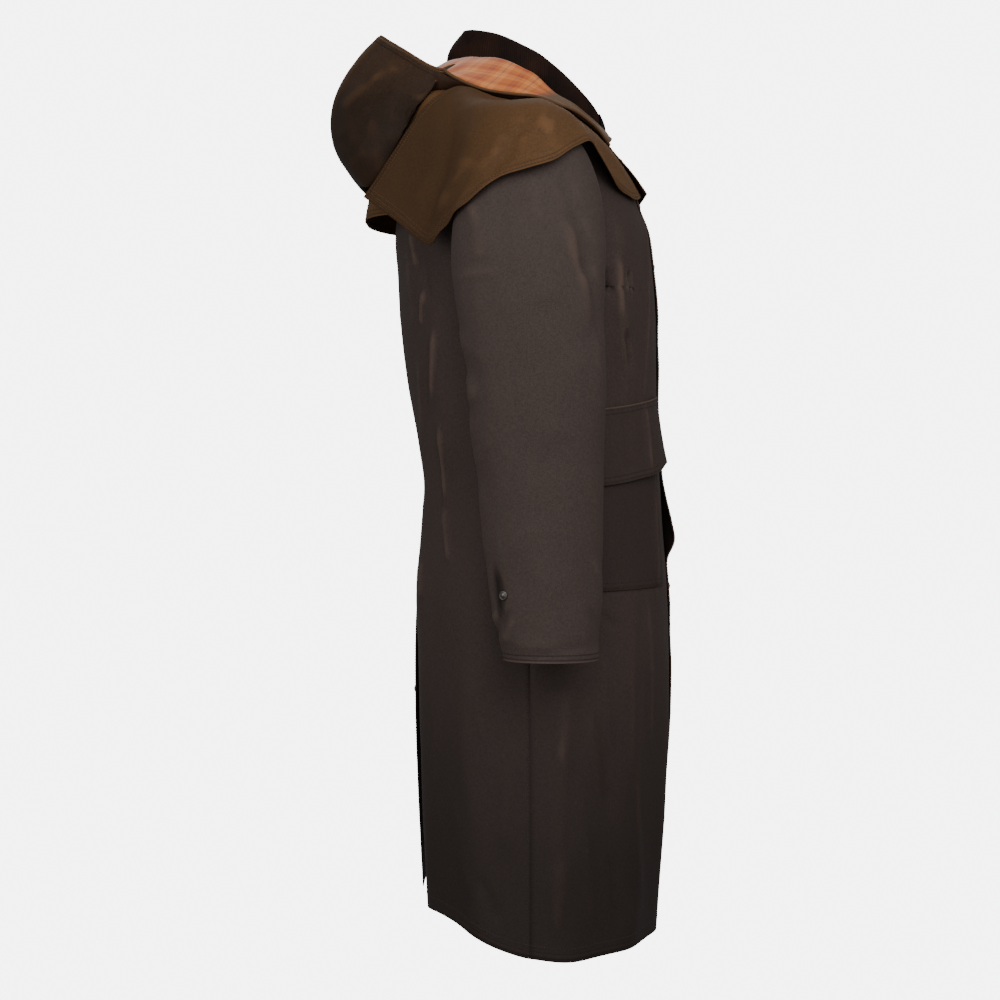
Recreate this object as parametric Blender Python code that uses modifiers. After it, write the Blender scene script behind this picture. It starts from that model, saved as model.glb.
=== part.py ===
"""Full-length hooded duster coat of waxed cotton, worn and hollow.

The coat's front is +X, the wearer's left is +Y and up is +Z, in metres. The origin is in the middle of
the shoulder line. Every cloth piece is a thin wall on a surface that is worked out from the tables below.
An angle runs round the coat from the front centre, positive to the wearer's right.
"""

import bpy
import numpy as np
from mathutils import Vector

# Cloth and seams
WALL = 0.0015
COLLAR_WALL = 0.003
FLAP_WALL = 0.002
PATCH_WALL = 0.0012
SEAM_GAP = 0.0003
LAY_GAP = 0.0004
CAPE_CLEARANCE = 0.0025
HOOD_CLEARANCE = 0.0026

# Body form: a row for each level, from the hem up. A ring rises towards the back centre and drops
# towards the front centre by the amounts given.
AXIS_X = 0.011
NECK_LEVEL = -0.022
SHOULDER_LEVEL = -0.062
UNDERARM_LEVEL = -0.290
HEM_LEVEL = -1.190
SKIRT_LEVEL = -0.560
BODY_COLUMNS = ("level", "front", "back", "half_width", "drop", "rise", "square")
BODY_ROWS = (
    (-1.230, 0.194, -0.137, 0.305, 0.000, 0.000, 2.40),
    (-1.190, 0.196, -0.138, 0.300, 0.000, 0.000, 2.40),
    (-1.000, 0.209, -0.146, 0.283, 0.000, 0.000, 2.40),
    (-0.820, 0.216, -0.150, 0.262, 0.000, 0.000, 2.40),
    (-0.700, 0.212, -0.149, 0.252, 0.000, 0.000, 2.38),
    (-0.620, 0.205, -0.142, 0.246, 0.000, 0.000, 2.36),
    (-0.560, 0.2015, -0.138, 0.241, 0.000, 0.000, 2.34),
    (-0.500, 0.199, -0.147, 0.238, 0.000, 0.000, 2.32),
    (-0.420, 0.197, -0.162, 0.235, 0.000, 0.000, 2.30),
    (-0.340, 0.195, -0.172, 0.232, 0.000, 0.000, 2.30),
    (-0.260, 0.190, -0.177, 0.230, 0.000, 0.000, 2.28),
    (-0.200, 0.182, -0.180, 0.228, 0.003, 0.003, 2.25),
    (-0.160, 0.1725, -0.173, 0.227, 0.016, 0.018, 2.20),
    (-0.100, 0.158, -0.158, 0.224, 0.037, 0.040, 2.10),
    (-0.062, 0.1415, -0.140, 0.222, 0.054, 0.056, 2.00),
    (-0.048, 0.131, -0.127, 0.170, 0.053, 0.056, 2.00),
    (-0.034, 0.1225, -0.115, 0.118, 0.052, 0.054, 2.00),
    (-0.022, 0.1175, -0.102, 0.088, 0.0515, 0.052, 2.00),
)

# The hem's own level, by angle from the front centre
HEM_COLUMNS = ("angle", "level")
HEM_ROWS = (
    (0.0, -1.200),
    (17.0, -1.193),
    (64.0, -1.188),
    (80.0, -1.190),
    (100.0, -1.176),
    (118.0, -1.156),
    (143.0, -1.148),
    (160.0, -1.155),
    (190.0, -1.170),
)

# Folds of the body, on the side given, or on both at 0. The width is an angle, the depth goes outwards.
FOLD_COLUMNS = (
    "side", "angle_top", "angle_bottom", "level_top", "level_bottom", "width", "depth",
)
FOLD_ROWS = (
    (1, 140.0, 146.0, -0.130, -0.320, 7.0, 0.0060),
    (1, 128.0, 134.0, -0.270, -0.560, 8.0, 0.0070),
    (1, 160.0, 156.0, -0.420, -0.820, 9.0, 0.0050),
    (1, 150.0, 148.0, -0.620, -1.330, 9.0, 0.0070),
    (1, 116.0, 110.0, -0.660, -1.330, 10.0, 0.0080),
    (1, 82.0, 79.0, -0.700, -1.330, 9.0, 0.0070),
    (1, 52.0, 49.0, -0.600, -1.330, 8.0, 0.0060),
    (1, 30.0, 33.0, -0.400, -0.760, 7.0, 0.0045),
    (1, 24.0, 20.0, -0.740, -1.330, 7.0, 0.0050),
    (1, 48.0, 50.0, -0.160, -0.400, 6.0, 0.0060),
    (-1, 136.0, 142.0, -0.140, -0.340, 8.0, 0.0060),
    (-1, 130.0, 133.0, -0.300, -0.600, 8.0, 0.0060),
    (-1, 158.0, 160.0, -0.460, -0.860, 9.0, 0.0050),
    (-1, 146.0, 143.0, -0.640, -1.330, 9.0, 0.0080),
    (-1, 112.0, 107.0, -0.620, -1.330, 10.0, 0.0070),
    (-1, 77.0, 75.0, -0.680, -1.330, 9.0, 0.0080),
    (-1, 50.0, 46.0, -0.640, -1.330, 8.0, 0.0060),
    (-1, 33.0, 31.0, -0.420, -0.780, 7.0, 0.0040),
    (-1, 22.0, 19.0, -0.700, -1.330, 7.0, 0.0050),
    (-1, 46.0, 50.0, -0.170, -0.410, 6.0, 0.0060),
)

# Riding vent: how far each back reaches towards the wearer's left of the centre, and how far out it
# stands. The left back laps over the right at the top and the two spread to the hem.
VENT_COLUMNS = ("level", "right_edge", "left_edge", "right_out", "left_out")
VENT_ROWS = (
    (-1.230, -0.040, 0.016, -0.0050, 0.0040),
    (-1.165, -0.036, 0.012, -0.0050, 0.0040),
    (-1.080, -0.020, -0.006, -0.0050, 0.0038),
    (-0.980, -0.006, -0.020, -0.0045, 0.0034),
    (-0.880, 0.000, -0.026, -0.0038, 0.0028),
    (-0.800, 0.000, 0.000, -0.0026, 0.0022),
    (-0.735, 0.000, 0.000, 0.0000, 0.0000),
)
VENT_WIDTH = 22.0

# Armholes: an oval in angle and level round the side of the body
ARMHOLE_HALF_ANGLE = 28.0
ARMHOLE_MIDDLE = (SHOULDER_LEVEL + UNDERARM_LEVEL) / 2
ARMHOLE_HALF = (SHOULDER_LEVEL - UNDERARM_LEVEL) / 2
ARMHOLE_STEPS = 18

# Sleeve: a row for each ring below the armhole, by its outermost and innermost points. Out is the
# distance from the centre plane.
SLEEVE_COLUMNS = ("outer_out", "outer_z", "inner_out", "inner_z", "middle_x", "half_x")
SLEEVE_ROWS = (
    (0.2580, -0.068, 0.2440, -0.2915, 0.0100, 0.0880),
    (0.2920, -0.086, 0.2500, -0.2975, 0.0090, 0.0940),
    (0.3220, -0.122, 0.2540, -0.3090, 0.0080, 0.0980),
    (0.3420, -0.180, 0.2545, -0.3300, 0.0075, 0.0995),
    (0.3520, -0.250, 0.2545, -0.3560, 0.0090, 0.0970),
    (0.3570, -0.330, 0.2540, -0.3900, 0.0135, 0.0925),
    (0.3580, -0.420, 0.2540, -0.4400, 0.0190, 0.0888),
    (0.3590, -0.510, 0.2570, -0.5130, 0.0217, 0.0839),
    (0.3600, -0.577, 0.2610, -0.5770, 0.0250, 0.0793),
    (0.3615, -0.6425, 0.2665, -0.6425, 0.0276, 0.0754),
    (0.3640, -0.708, 0.2725, -0.7080, 0.0302, 0.0701),
    (0.3680, -0.7715, 0.2785, -0.7715, 0.0366, 0.0622),
    (0.3690, -0.784, 0.2795, -0.7840, 0.0372, 0.0607),
)

# Collar: height and outward lean of its top edge, by angle
COLLAR_COLUMNS = ("angle", "height", "lean", "roll")
COLLAR_ROWS = (
    (0.0, 0.024, 0.0010, 0.0010),
    (30.0, 0.031, 0.0020, 0.0020),
    (53.0, 0.038, 0.0040, 0.0040),
    (72.0, 0.052, 0.0050, 0.0050),
    (94.0, 0.075, 0.0050, 0.0060),
    (111.0, 0.085, 0.0020, 0.0060),
    (128.0, 0.082, -0.0040, 0.0080),
    (150.0, 0.068, -0.0150, 0.0110),
    (180.0, 0.056, -0.0240, 0.0110),
)
COLLAR_START = 8.0
COLLAR_END = 386.0
COLLAR_LAP_FROM = 328.0
COLLAR_LAP_FULL = 356.0
COLLAR_LIFT = 0.0024

# Cape: a row for each section of the right half, front edge first. The section runs from the neck over
# the ridge of the shoulder to its hem point, and bows up and out between the last two.
CAPE_COLUMNS = (
    "neck_angle", "ridge_angle", "hem_x", "hem_out", "hem_z", "bow_up", "bow_out",
)
CAPE_ROWS = (
    (9.0, 5.0, 0.1710, 0.010, -0.1460, 0.000, 0.000),
    (28.0, 26.0, 0.1650, 0.088, -0.1600, 0.000, 0.004),
    (43.0, 42.0, 0.1510, 0.134, -0.1620, 0.002, 0.006),
    (57.0, 56.0, 0.1250, 0.184, -0.1500, 0.008, 0.006),
    (72.0, 70.0, 0.0850, 0.258, -0.1125, 0.012, 0.004),
    (88.0, 86.0, 0.0350, 0.334, -0.1460, 0.034, 0.006),
    (103.0, 101.0, -0.0294, 0.340, -0.1667, 0.036, 0.006),
    (115.0, 115.0, -0.0780, 0.320, -0.2040, 0.036, 0.010),
    (123.0, 127.0, -0.1216, 0.247, -0.2407, 0.010, 0.016),
    (129.0, 138.0, -0.2180, 0.134, -0.1620, 0.008, 0.010),
)
CAPE_NECK_LEVEL = -0.0265
CAPE_RIDGE_LEVEL = -0.056
CAPE_RIDGE_SHARE = 0.45
CAPE_LAP_ANGLES = (-13.0, -14.0)
CAPE_LAP_HEM = (0.1740, -0.045, -0.1500)
CAPE_LAP_OUT = 0.0036

# Back yoke flap: how far its hem stands off the back, by angle from the front centre
YOKE_COLUMNS = ("angle", "lift")
YOKE_ROWS = (
    (100.0, 0.000),
    (118.0, 0.002),
    (130.0, 0.010),
    (145.0, 0.034),
    (160.0, 0.042),
    (180.0, 0.040),
)
YOKE_HEM_LEVEL = -0.196
YOKE_FIRST_COLUMN = 2

# Hood: a row for each section from the throat to the centre back. Rise is the height of its neck edge
# on the collar. Fullness scales the bag's profile, which the second table gives at the centre back, and
# spread widens the bag sideways.
HOOD_COLUMNS = ("angle", "rise", "rim_x", "rim_out", "rim_z", "fullness", "spread")
HOOD_ROWS = (
    (14.0, 0.005, 0.1215, 0.036, -0.0780, 0.00, 0.000),
    (35.0, 0.007, 0.0990, 0.066, -0.0550, 0.00, 0.000),
    (60.0, 0.009, 0.0540, 0.095, -0.0290, 0.00, 0.000),
    (75.0, 0.012, 0.0230, 0.110, -0.0200, 0.00, 0.000),
    (87.0, 0.032, -0.0070, 0.117, -0.0160, 0.00, 0.000),
    (103.0, 0.045, -0.0480, 0.122, -0.0110, 0.01, 0.000),
    (117.0, 0.046, -0.0830, 0.124, 0.0010, 0.04, 0.003),
    (129.0, 0.038, -0.1065, 0.121, 0.0120, 0.10, 0.006),
    (137.0, 0.032, -0.1210, 0.114, 0.0195, 0.30, 0.016),
    (144.0, 0.025, -0.1355, 0.106, 0.0280, 0.66, 0.034),
    (153.0, 0.019, -0.1540, 0.091, 0.0420, 0.92, 0.040),
    (164.0, 0.014, -0.1780, 0.064, 0.0610, 0.99, 0.030),
    (180.0, 0.012, -0.2073, 0.000, 0.0880, 1.00, 0.000),
)
HOOD_TURNS = (
    14, 24, 35, 47, 60, 75, 87, 95, 103, 110, 117, 123, 129, 134, 139, 144, 150, 159, 170, 180,
)
BAG_COLUMNS = ("share", "back", "up")
BAG_ROWS = (
    (0.00, 0.000, 0.000),
    (0.12, 0.052, -0.030),
    (0.24, 0.084, -0.080),
    (0.34, 0.104, -0.134),
    (0.43, 0.122, -0.173),
    (0.54, 0.146, -0.150),
    (0.65, 0.164, -0.115),
    (0.75, 0.168, -0.070),
    (0.85, 0.155, -0.025),
    (0.93, 0.129, 0.015),
    (1.00, 0.100, 0.045),
)
HOOD_STAND = 0.0030
HOOD_EDGE_RADIUS = 0.0022
HOOD_EDGE_GAP = 0.0010
HOOD_EDGE_LIFT = 0.0008
HOOD_LAP_END = 40.0
HOOD_LAP_FADE = 10.0
LINING_GAP = 0.0006

# Storm flap over the front closing: its edges from the centre plane, and how far its free edge curls out
FLAP_FREE_EDGE = 0.032
FLAP_FIXED_EDGE = 0.034
FLAP_SHARES = (0.0, 0.5, 0.8, 1.0)
CURL_FROM = 0.3
CURL_COLUMNS = ("level", "curl")
CURL_ROWS = (
    (-0.700, 0.000),
    (-0.668, 0.002),
    (-0.650, 0.012),
    (-0.620, 0.011),
    (-0.590, 0.006),
    (-0.555, 0.001),
    (-0.520, 0.000),
)

# Pockets on the fronts: angles and levels of their corners
POCKET_FRONT_ANGLE = 24.0
POCKET_REAR_ANGLE = 72.0
POCKET_TOP = -0.478
POCKET_BOTTOM = -0.703
POCKET_FLAP_FRONT_ANGLE = 18.5
POCKET_FLAP_REAR_ANGLE = 77.0
POCKET_FLAP_COLUMNS = ("angle", "top", "bottom", "flare")
POCKET_FLAP_ROWS = (
    (18.5, -0.438, -0.532, 0.0110),
    (30.0, -0.443, -0.545, 0.0060),
    (45.0, -0.450, -0.554, 0.0030),
    (77.0, -0.461, -0.566, 0.0010),
)

# Snap studs
STUD_RADIUS = 0.0075
STUD_HEIGHT = 0.0035
STUD_SIDES = 12
FRONT_STUD_ROWS = (5, 8, 11, 14, 16, 18)
CAPE_STUD_ROWS = (4.6, 3.3)
CAPE_STUD_COLUMN = 17.75
VENT_STUD_PLACE = (5.5, 0.5)
CUFF_STUD_PLACE = (14.85, 15.5)

# Grid of the solids
LAY_ROUNDS = ((1, 3), (4, 3), (4, 2), (4, 2), (4, 1), (4, 1), (4, 0), (4, 0))
NEAREST_BLOCK = 400
UNDER_LOWEST = -0.40
UNDER_ANGLE_STEP = 3.0
UNDER_LEVEL_STEP = 0.007
PANEL_COLUMNS = 12
SKIRT_ROWS = 16
UPPER_LEVELS = (-0.048, -0.034)
SLEEVE_STEPS = (0, 0.5, 1, 1.5, 2, 2.5, 3, 3.5, 4, 5, 6, 7, 8, 9, 10, 11, 12, 13)


def table(columns, rows):
    """The rows as one array for each named column."""
    return dict(zip(columns, np.array(rows, float).T))


BODY = table(BODY_COLUMNS, BODY_ROWS)
HEM = table(HEM_COLUMNS, HEM_ROWS)
VENT = table(VENT_COLUMNS, VENT_ROWS)
SLEEVE = table(SLEEVE_COLUMNS, SLEEVE_ROWS)
COLLAR = table(COLLAR_COLUMNS, COLLAR_ROWS)
CAPE = table(CAPE_COLUMNS, CAPE_ROWS)
YOKE = table(YOKE_COLUMNS, YOKE_ROWS)
HOOD = table(HOOD_COLUMNS, HOOD_ROWS)
BAG = table(BAG_COLUMNS, BAG_ROWS)
CURL = table(CURL_COLUMNS, CURL_ROWS)
POCKET_FLAP = table(POCKET_FLAP_COLUMNS, POCKET_FLAP_ROWS)


# Curves and surfaces

def smooth(at, keys, values):
    """Cubic curve through the values, whose slope at each key is that of its neighbours."""
    at = np.asarray(at, float)
    values = np.asarray(values, float)
    slopes = np.gradient(values, keys, axis=0)
    i = np.clip(np.searchsorted(keys, at, side="right") - 1, 0, len(keys) - 2)
    span = keys[i + 1] - keys[i]
    t = np.clip((at - keys[i]) / span, 0.0, 1.0)
    more = (1,) * (values.ndim - 1)
    t = t.reshape(t.shape + more)
    span = span.reshape(span.shape + more)
    start = (1 + 2 * t) * (1 - t) ** 2 * values[i] + t * (1 - t) ** 2 * span * slopes[i]
    end = t**2 * (3 - 2 * t) * values[i + 1] + t**2 * (t - 1) * span * slopes[i + 1]
    return start + end


def unit(vectors):
    return vectors / np.linalg.norm(vectors, axis=-1, keepdims=True)


def signed_power(value, power):
    return np.sign(value) * np.abs(value) ** power


def soft_step(value):
    """0 below 0, 1 above 1 and a smooth rise between."""
    value = np.clip(value, 0.0, 1.0)
    return value * value * (3 - 2 * value)


def normals_of(grid, wrap=False):
    """Unit normal at each point of a grid, from the faces round it: row direction crossed with column's."""
    if wrap:
        grid = np.concatenate((grid, grid[:, :1]), axis=1)
    rising = grid[1:, 1:] - grid[:-1, :-1]
    falling = grid[1:, :-1] - grid[:-1, 1:]
    faces = unit(np.cross(falling, rising))
    total = np.zeros_like(grid)
    for rows in (slice(None, -1), slice(1, None)):
        for columns in (slice(None, -1), slice(1, None)):
            total[rows, columns] += faces
    if wrap:
        total[:, 0] += total[:, -1]
        total = total[:, :-1]
    return unit(total)


def moved_out(grid, distance, wrap=False):
    return grid + normals_of(grid, wrap) * np.asarray(distance)[..., None]


def mirrored(grid):
    """The other side's grid, its columns turned round so that its faces still point out."""
    return grid[:, ::-1] * np.array((1.0, -1.0, 1.0))


# Body form

def ring_form(angle, level):
    """Squared oval at the level, its halves set by the front, back and side sizes, higher at the back."""
    front, back, half_width, drop, rise, square = (
        smooth(level, BODY["level"], BODY[name]) for name in BODY_COLUMNS[1:]
    )
    turn = np.radians(angle)
    across, along = np.sin(turn), np.cos(turn)
    power = 2 / square
    depth = np.where(along > 0, front - AXIS_X, AXIS_X - back)
    forward = signed_power(along, power)
    x = AXIS_X + depth * forward
    y = -half_width * signed_power(across, power)
    z = level + np.where(along > 0, -drop, rise) * forward**2
    return np.stack((x, y, z), axis=-1)


def form_normal(angle, level):
    round_step, up_step = 0.6, 0.002
    up = ring_form(angle, level + up_step) - ring_form(angle, level - up_step)
    round_way = ring_form(angle + round_step, level) - ring_form(angle - round_step, level)
    return unit(np.cross(up, round_way))


def fold_height(angle, level):
    """Sum of the folds: each a bell across its line, fading in and out at its ends."""
    total = np.zeros(np.broadcast(angle, level).shape)
    around = np.abs(angle)
    for side, top_angle, bottom_angle, top, bottom, width, depth in FOLD_ROWS:
        share = (top - level) / (top - bottom)
        centre = top_angle + (bottom_angle - top_angle) * share
        bell = np.exp(-(((around - centre) / width) ** 2))
        ends = soft_step(share / 0.3) * soft_step((1 - share) / 0.3)
        here = (side == 0) | (np.sign(angle) == side)
        total += np.where(here, depth * bell * ends, 0.0)
    lap = np.exp(-(((around - 180.0) / VENT_WIDTH) ** 2))
    right_out = np.interp(level, VENT["level"], VENT["right_out"])
    left_out = np.interp(level, VENT["level"], VENT["left_out"])
    return total + lap * np.where(angle > 0, right_out, left_out)


def body_point(angle, level, out=0.0):
    angle, level = np.broadcast_arrays(np.asarray(angle, float), np.asarray(level, float))
    height = fold_height(angle, level) + out
    return ring_form(angle, level) + form_normal(angle, level) * height[..., None]


def angle_off_centre(distance, level):
    """Angle from the centre line of a point this far from the centre plane."""
    half_width = smooth(level, BODY["level"], BODY["half_width"])
    square = smooth(level, BODY["level"], BODY["square"])
    return np.degrees(np.arcsin(signed_power(distance / half_width, square / 2)))


def hemmed(level, angle):
    """Skirt levels are stretched so that the last is the hem's own at that angle."""
    hem = smooth(np.abs(angle), HEM["angle"], HEM["level"])
    stretched = SKIRT_LEVEL + (level - SKIRT_LEVEL) * (hem - SKIRT_LEVEL) / (HEM_LEVEL - SKIRT_LEVEL)
    return np.where(level < SKIRT_LEVEL, stretched, level)


def armhole_half_angle(level):
    share = np.clip((level - ARMHOLE_MIDDLE) / ARMHOLE_HALF, -1.0, 1.0)
    return ARMHOLE_HALF_ANGLE * np.sqrt(1 - share**2)


def armhole_turns():
    return np.linspace(0.0, 180.0, ARMHOLE_STEPS // 2 + 1)


def panel_levels():
    """Levels of the rows from the hem up; those at the armhole meet the sleeve's own points."""
    skirt = np.linspace(HEM_LEVEL, UNDERARM_LEVEL, SKIRT_ROWS + 1)[:-1]
    armhole = ARMHOLE_MIDDLE - ARMHOLE_HALF * np.cos(np.radians(armhole_turns()))
    return np.concatenate((skirt, armhole, UPPER_LEVELS, (NECK_LEVEL,)))


def panel_grid(side, is_front, levels, shares):
    """A front or back: shares run from the centre line, 0, to the side seam or armhole, 1."""
    level = levels[:, None]
    share = shares[None, :]
    if is_front:
        centre = np.zeros_like(level)
        side_angle = 90.0 - armhole_half_angle(level)
    else:
        name = "right_edge" if side > 0 else "left_edge"
        edge = np.interp(level, VENT["level"], VENT[name])
        centre = 180.0 + side * angle_off_centre(edge, level)
        side_angle = 90.0 + armhole_half_angle(level)
    angle = centre + (side_angle - centre) * share
    grid = body_point(side * angle, hemmed(level, angle))
    closed = np.ones(len(levels), bool)
    if not is_front:
        closed = edge[:, 0] == 0.0
    grid[closed, 0, 1] = -side * SEAM_GAP / 2
    seamed = armhole_half_angle(levels) < 1e-6
    to_seam = SEAM_GAP / 2 if is_front else -SEAM_GAP / 2
    grid[seamed, -1, 0] = AXIS_X + to_seam
    return grid if (side > 0) == is_front else grid[:, ::-1]


def panel_shares():
    return np.linspace(0.0, 1.0, PANEL_COLUMNS + 1)


# Sleeves

def sleeve_rings(turns):
    """The armhole and the table's ovals, for the wearer's right: ring, point, xyz."""
    turn = np.radians(turns)
    level = ARMHOLE_MIDDLE + ARMHOLE_HALF * np.cos(turn)
    angle = 90.0 - ARMHOLE_HALF_ANGLE * np.sin(turn)
    rings = [body_point(angle, level, WALL + 2 * SEAM_GAP)]
    for outer_out, outer_z, inner_out, inner_z, middle_x, half_x in SLEEVE_ROWS:
        outer = np.array((middle_x, -outer_out, outer_z))
        inner = np.array((middle_x, -inner_out, inner_z))
        along = np.cos(turn)[:, None] * (outer - inner) / 2
        across = np.sin(turn)[:, None] * np.array((half_x, 0.0, 0.0))
        rings.append((outer + inner) / 2 + along + across)
    return np.array(rings)


def sleeve_grid(steps, turns):
    rings = sleeve_rings(turns)
    return smooth(np.asarray(steps, float), np.arange(len(rings), dtype=float), rings)


# Draping one piece over others

def under_samples():
    """Points and outward normals on the outside of the upper body and the sleeves."""
    angles = np.arange(-180.0, 180.0, UNDER_ANGLE_STEP)[None, :]
    levels = np.arange(UNDER_LOWEST, NECK_LEVEL, UNDER_LEVEL_STEP)[:, None]
    body = body_point(angles, levels, WALL)
    sleeve = sleeve_grid(np.arange(0.0, 6.0, 0.12), np.arange(0.0, 360.0, 7.5))
    sleeve = moved_out(sleeve, WALL, wrap=True)
    grids = (body, sleeve, mirrored(sleeve))
    points = np.concatenate([grid.reshape(-1, 3) for grid in grids])
    normals = np.concatenate([
        normals_of(grid, wrap=True).reshape(-1, 3) for grid in grids
    ])
    return points, normals


def samples_of(grid, wall):
    """Points and normals on the outer face of a piece, its grid doubled in both ways."""
    finer = refined(refined(grid).transpose(1, 0, 2)).transpose(1, 0, 2)
    outer = moved_out(finer, wall)
    return outer.reshape(-1, 3), normals_of(outer).reshape(-1, 3)


def refined(grid, times=4):
    rows = np.arange(len(grid), dtype=float)
    return smooth(np.linspace(0, len(grid) - 1, (len(grid) - 1) * times + 1), rows, grid)


def nearest_samples(points, samples):
    """Index of the sample nearest to each point, worked out in blocks."""
    squares = (samples**2).sum(axis=1)
    blocks = np.array_split(points, len(points) // NEAREST_BLOCK + 1)
    return np.concatenate([
        np.argmin(squares - 2 * block @ samples.T, axis=1) for block in blocks
    ])


def bilinear(grid, times):
    """The grid's own flat faces, with their points multiplied."""
    for _ in range(2):
        rows = np.linspace(0, len(grid) - 1, (len(grid) - 1) * times + 1)
        low = np.minimum(rows.astype(int), len(grid) - 2)
        share = (rows - low).reshape(-1, *(1,) * (grid.ndim - 1))
        grid = (grid[low] * (1 - share) + grid[low + 1] * share).swapaxes(0, 1)
    return grid


def laid_over(grid, under, clearance, reach=0.012):
    """Moves the grid out until its points, then its faces too, are clear of what lies beneath them."""
    samples, normals = under
    coarse_clearance = np.broadcast_to(clearance, grid.shape[:2])
    for times, blurs in LAY_ROUNDS:
        clearance = bilinear(coarse_clearance, times)
        fine = bilinear(grid, times)
        flat = fine.reshape(-1, 3)
        nearest = nearest_samples(flat, samples)
        offset = flat - samples[nearest]
        height = (offset * normals[nearest]).sum(axis=-1)
        beside = np.linalg.norm(offset - height[:, None] * normals[nearest], axis=-1)
        short = np.maximum(clearance.reshape(-1) - height, 0.0) * (beside < reach)
        short = short.reshape(fine.shape[:2])
        push = short[..., None] * normals[nearest].reshape(fine.shape)
        push = largest_near(short, push, times)
        for _ in range(blurs):
            push = blurred(push)
        grid = grid + push
    return grid


def blurred(field):
    """Each point averaged with its neighbours down and across."""
    for _ in range(2):
        padded = np.concatenate((field[:1], field, field[-1:]))
        field = ((padded[:-2] + padded[2:]) / 4 + field / 2).swapaxes(0, 1)
    return field


def largest_near(short, push, times):
    """For each point of the coarse grid, the push of the shortest fine point within its own faces."""
    best = short[::times, ::times].copy()
    chosen = push[::times, ::times].copy()
    around = range(1 - times, times)
    rows, columns = short.shape
    row = np.arange(0, rows, times)[:, None]
    column = np.arange(0, columns, times)[None, :]
    for down in around:
        for across in around:
            i = np.clip(row + down, 0, rows - 1)
            j = np.clip(column + across, 0, columns - 1)
            more = short[i, j] > best
            best = np.where(more, short[i, j], best)
            chosen = np.where(more[..., None], push[i, j], chosen)
    return chosen


# Collar

def collar_out(turn):
    """How far the lapping left end stands out over the right."""
    lap = (turn - COLLAR_LAP_FROM) / (COLLAR_LAP_FULL - COLLAR_LAP_FROM)
    return soft_step(lap) * (COLLAR_WALL + LAY_GAP)


def collar_point(turn, share, out=0.0):
    """Inner face at a turn of 0 to 386 degrees round the neck, share 0 at the seam to 1 at the top."""
    around = np.where(turn > 360.0, turn - 360.0, np.where(turn > 180.0, 360.0 - turn, turn))
    height, lean, roll = (
        smooth(around, COLLAR["angle"], COLLAR[name]) for name in COLLAR_COLUMNS[1:]
    )
    base = ring_form(turn, np.full(np.shape(turn), NECK_LEVEL))
    facing = form_normal(turn, np.full(np.shape(turn), -0.05))
    facing = unit(facing * np.array((1.0, 1.0, 0.0)))
    outward = lean * share + roll * np.sin(np.pi * share) + collar_out(turn) + out
    up = COLLAR_LIFT + height * share
    return base + facing * outward[..., None] + np.array((0.0, 0.0, 1.0)) * up[..., None]


def collar_grid(turns, shares):
    turn, share = np.meshgrid(turns, shares)
    return collar_point(turn, share)


# Cape

def cape_grid(sections, shares, side):
    """Sections from the front edge to the back one, rows from the hem, 1, to the neck, 0."""
    rows = {name: CAPE[name].copy() for name in CAPE_COLUMNS}
    if side < 0:
        rows["neck_angle"][0], rows["ridge_angle"][0] = CAPE_LAP_ANGLES
        rows["hem_x"][0], rows["hem_out"][0], rows["hem_z"][0] = CAPE_LAP_HEM
    keys = np.arange(len(CAPE_ROWS), dtype=float)
    corner = keys[-2]

    def along_hem(values):
        """A smooth curve as far as the back corner, then straight."""
        curve = smooth(np.minimum(sections, corner), keys[:-1], values[:-1])
        line = np.interp(sections, keys[-2:], values[-2:])
        return np.where(sections > corner, line, curve)

    at = {name: along_hem(rows[name]) for name in CAPE_COLUMNS}
    neck_level = np.full(sections.shape, CAPE_NECK_LEVEL)
    ridge_level = np.full(sections.shape, CAPE_RIDGE_LEVEL)
    neck = body_point(at["neck_angle"], neck_level, WALL + 2 * LAY_GAP)
    ridge = body_point(at["ridge_angle"], ridge_level, WALL + CAPE_CLEARANCE)
    hem = np.stack((at["hem_x"], -at["hem_out"], at["hem_z"]), axis=-1)
    bow = np.stack((np.zeros_like(hem[:, 0]), -at["bow_out"], at["bow_up"]), axis=-1)
    passes = np.array((0.0, CAPE_RIDGE_SHARE, 1.0))
    grid = smooth(shares, passes, np.array((neck, ridge, hem)))
    beyond = np.clip((shares - CAPE_RIDGE_SHARE) / (1 - CAPE_RIDGE_SHARE), 0.0, 1.0)
    return grid + np.sin(np.pi * beyond)[:, None, None] * bow


# Hood

def hood_grid(shares):
    """Sections from the right throat round to the left: a straight line from the collar to the rim,
    plus its share of the bag's profile."""
    half = np.array(HOOD_TURNS, float)
    turn = np.concatenate((half, half[-2::-1]))
    side = np.where(np.arange(len(turn)) < len(half), 1.0, -1.0)
    rise, rim_x, rim_out, rim_z, fullness, spread = (
        smooth(turn, HOOD["angle"], HOOD[name]) for name in HOOD_COLUMNS[1:]
    )
    height = smooth(turn, COLLAR["angle"], COLLAR["height"])
    lap = (COLLAR_WALL + LAY_GAP) * soft_step((HOOD_LAP_END - turn) / HOOD_LAP_FADE)
    neck = collar_point(turn, rise / height, COLLAR_WALL + HOOD_STAND + lap)
    rim = np.stack((rim_x, -rim_out, rim_z), axis=-1)
    back = smooth(shares, BAG["share"], BAG["back"]) - shares * BAG["back"][-1]
    up = smooth(shares, BAG["share"], BAG["up"]) - shares * BAG["up"][-1]
    bag = np.stack((-back, np.zeros_like(back), up), axis=-1)
    share = shares[:, None, None]
    grid = neck + (rim - neck) * share + fullness[None, :, None] * bag[:, None, :]
    grid[..., 1] -= spread * np.sin(np.pi * shares)[:, None]
    grid[..., 1] *= side
    return grid


# Blender objects

def cleared_collection(name):
    for thing in list(bpy.data.objects):
        bpy.data.objects.remove(thing, do_unlink=True)
    collection = bpy.data.collections.new(name)
    bpy.context.scene.collection.children.link(collection)
    return collection


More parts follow.
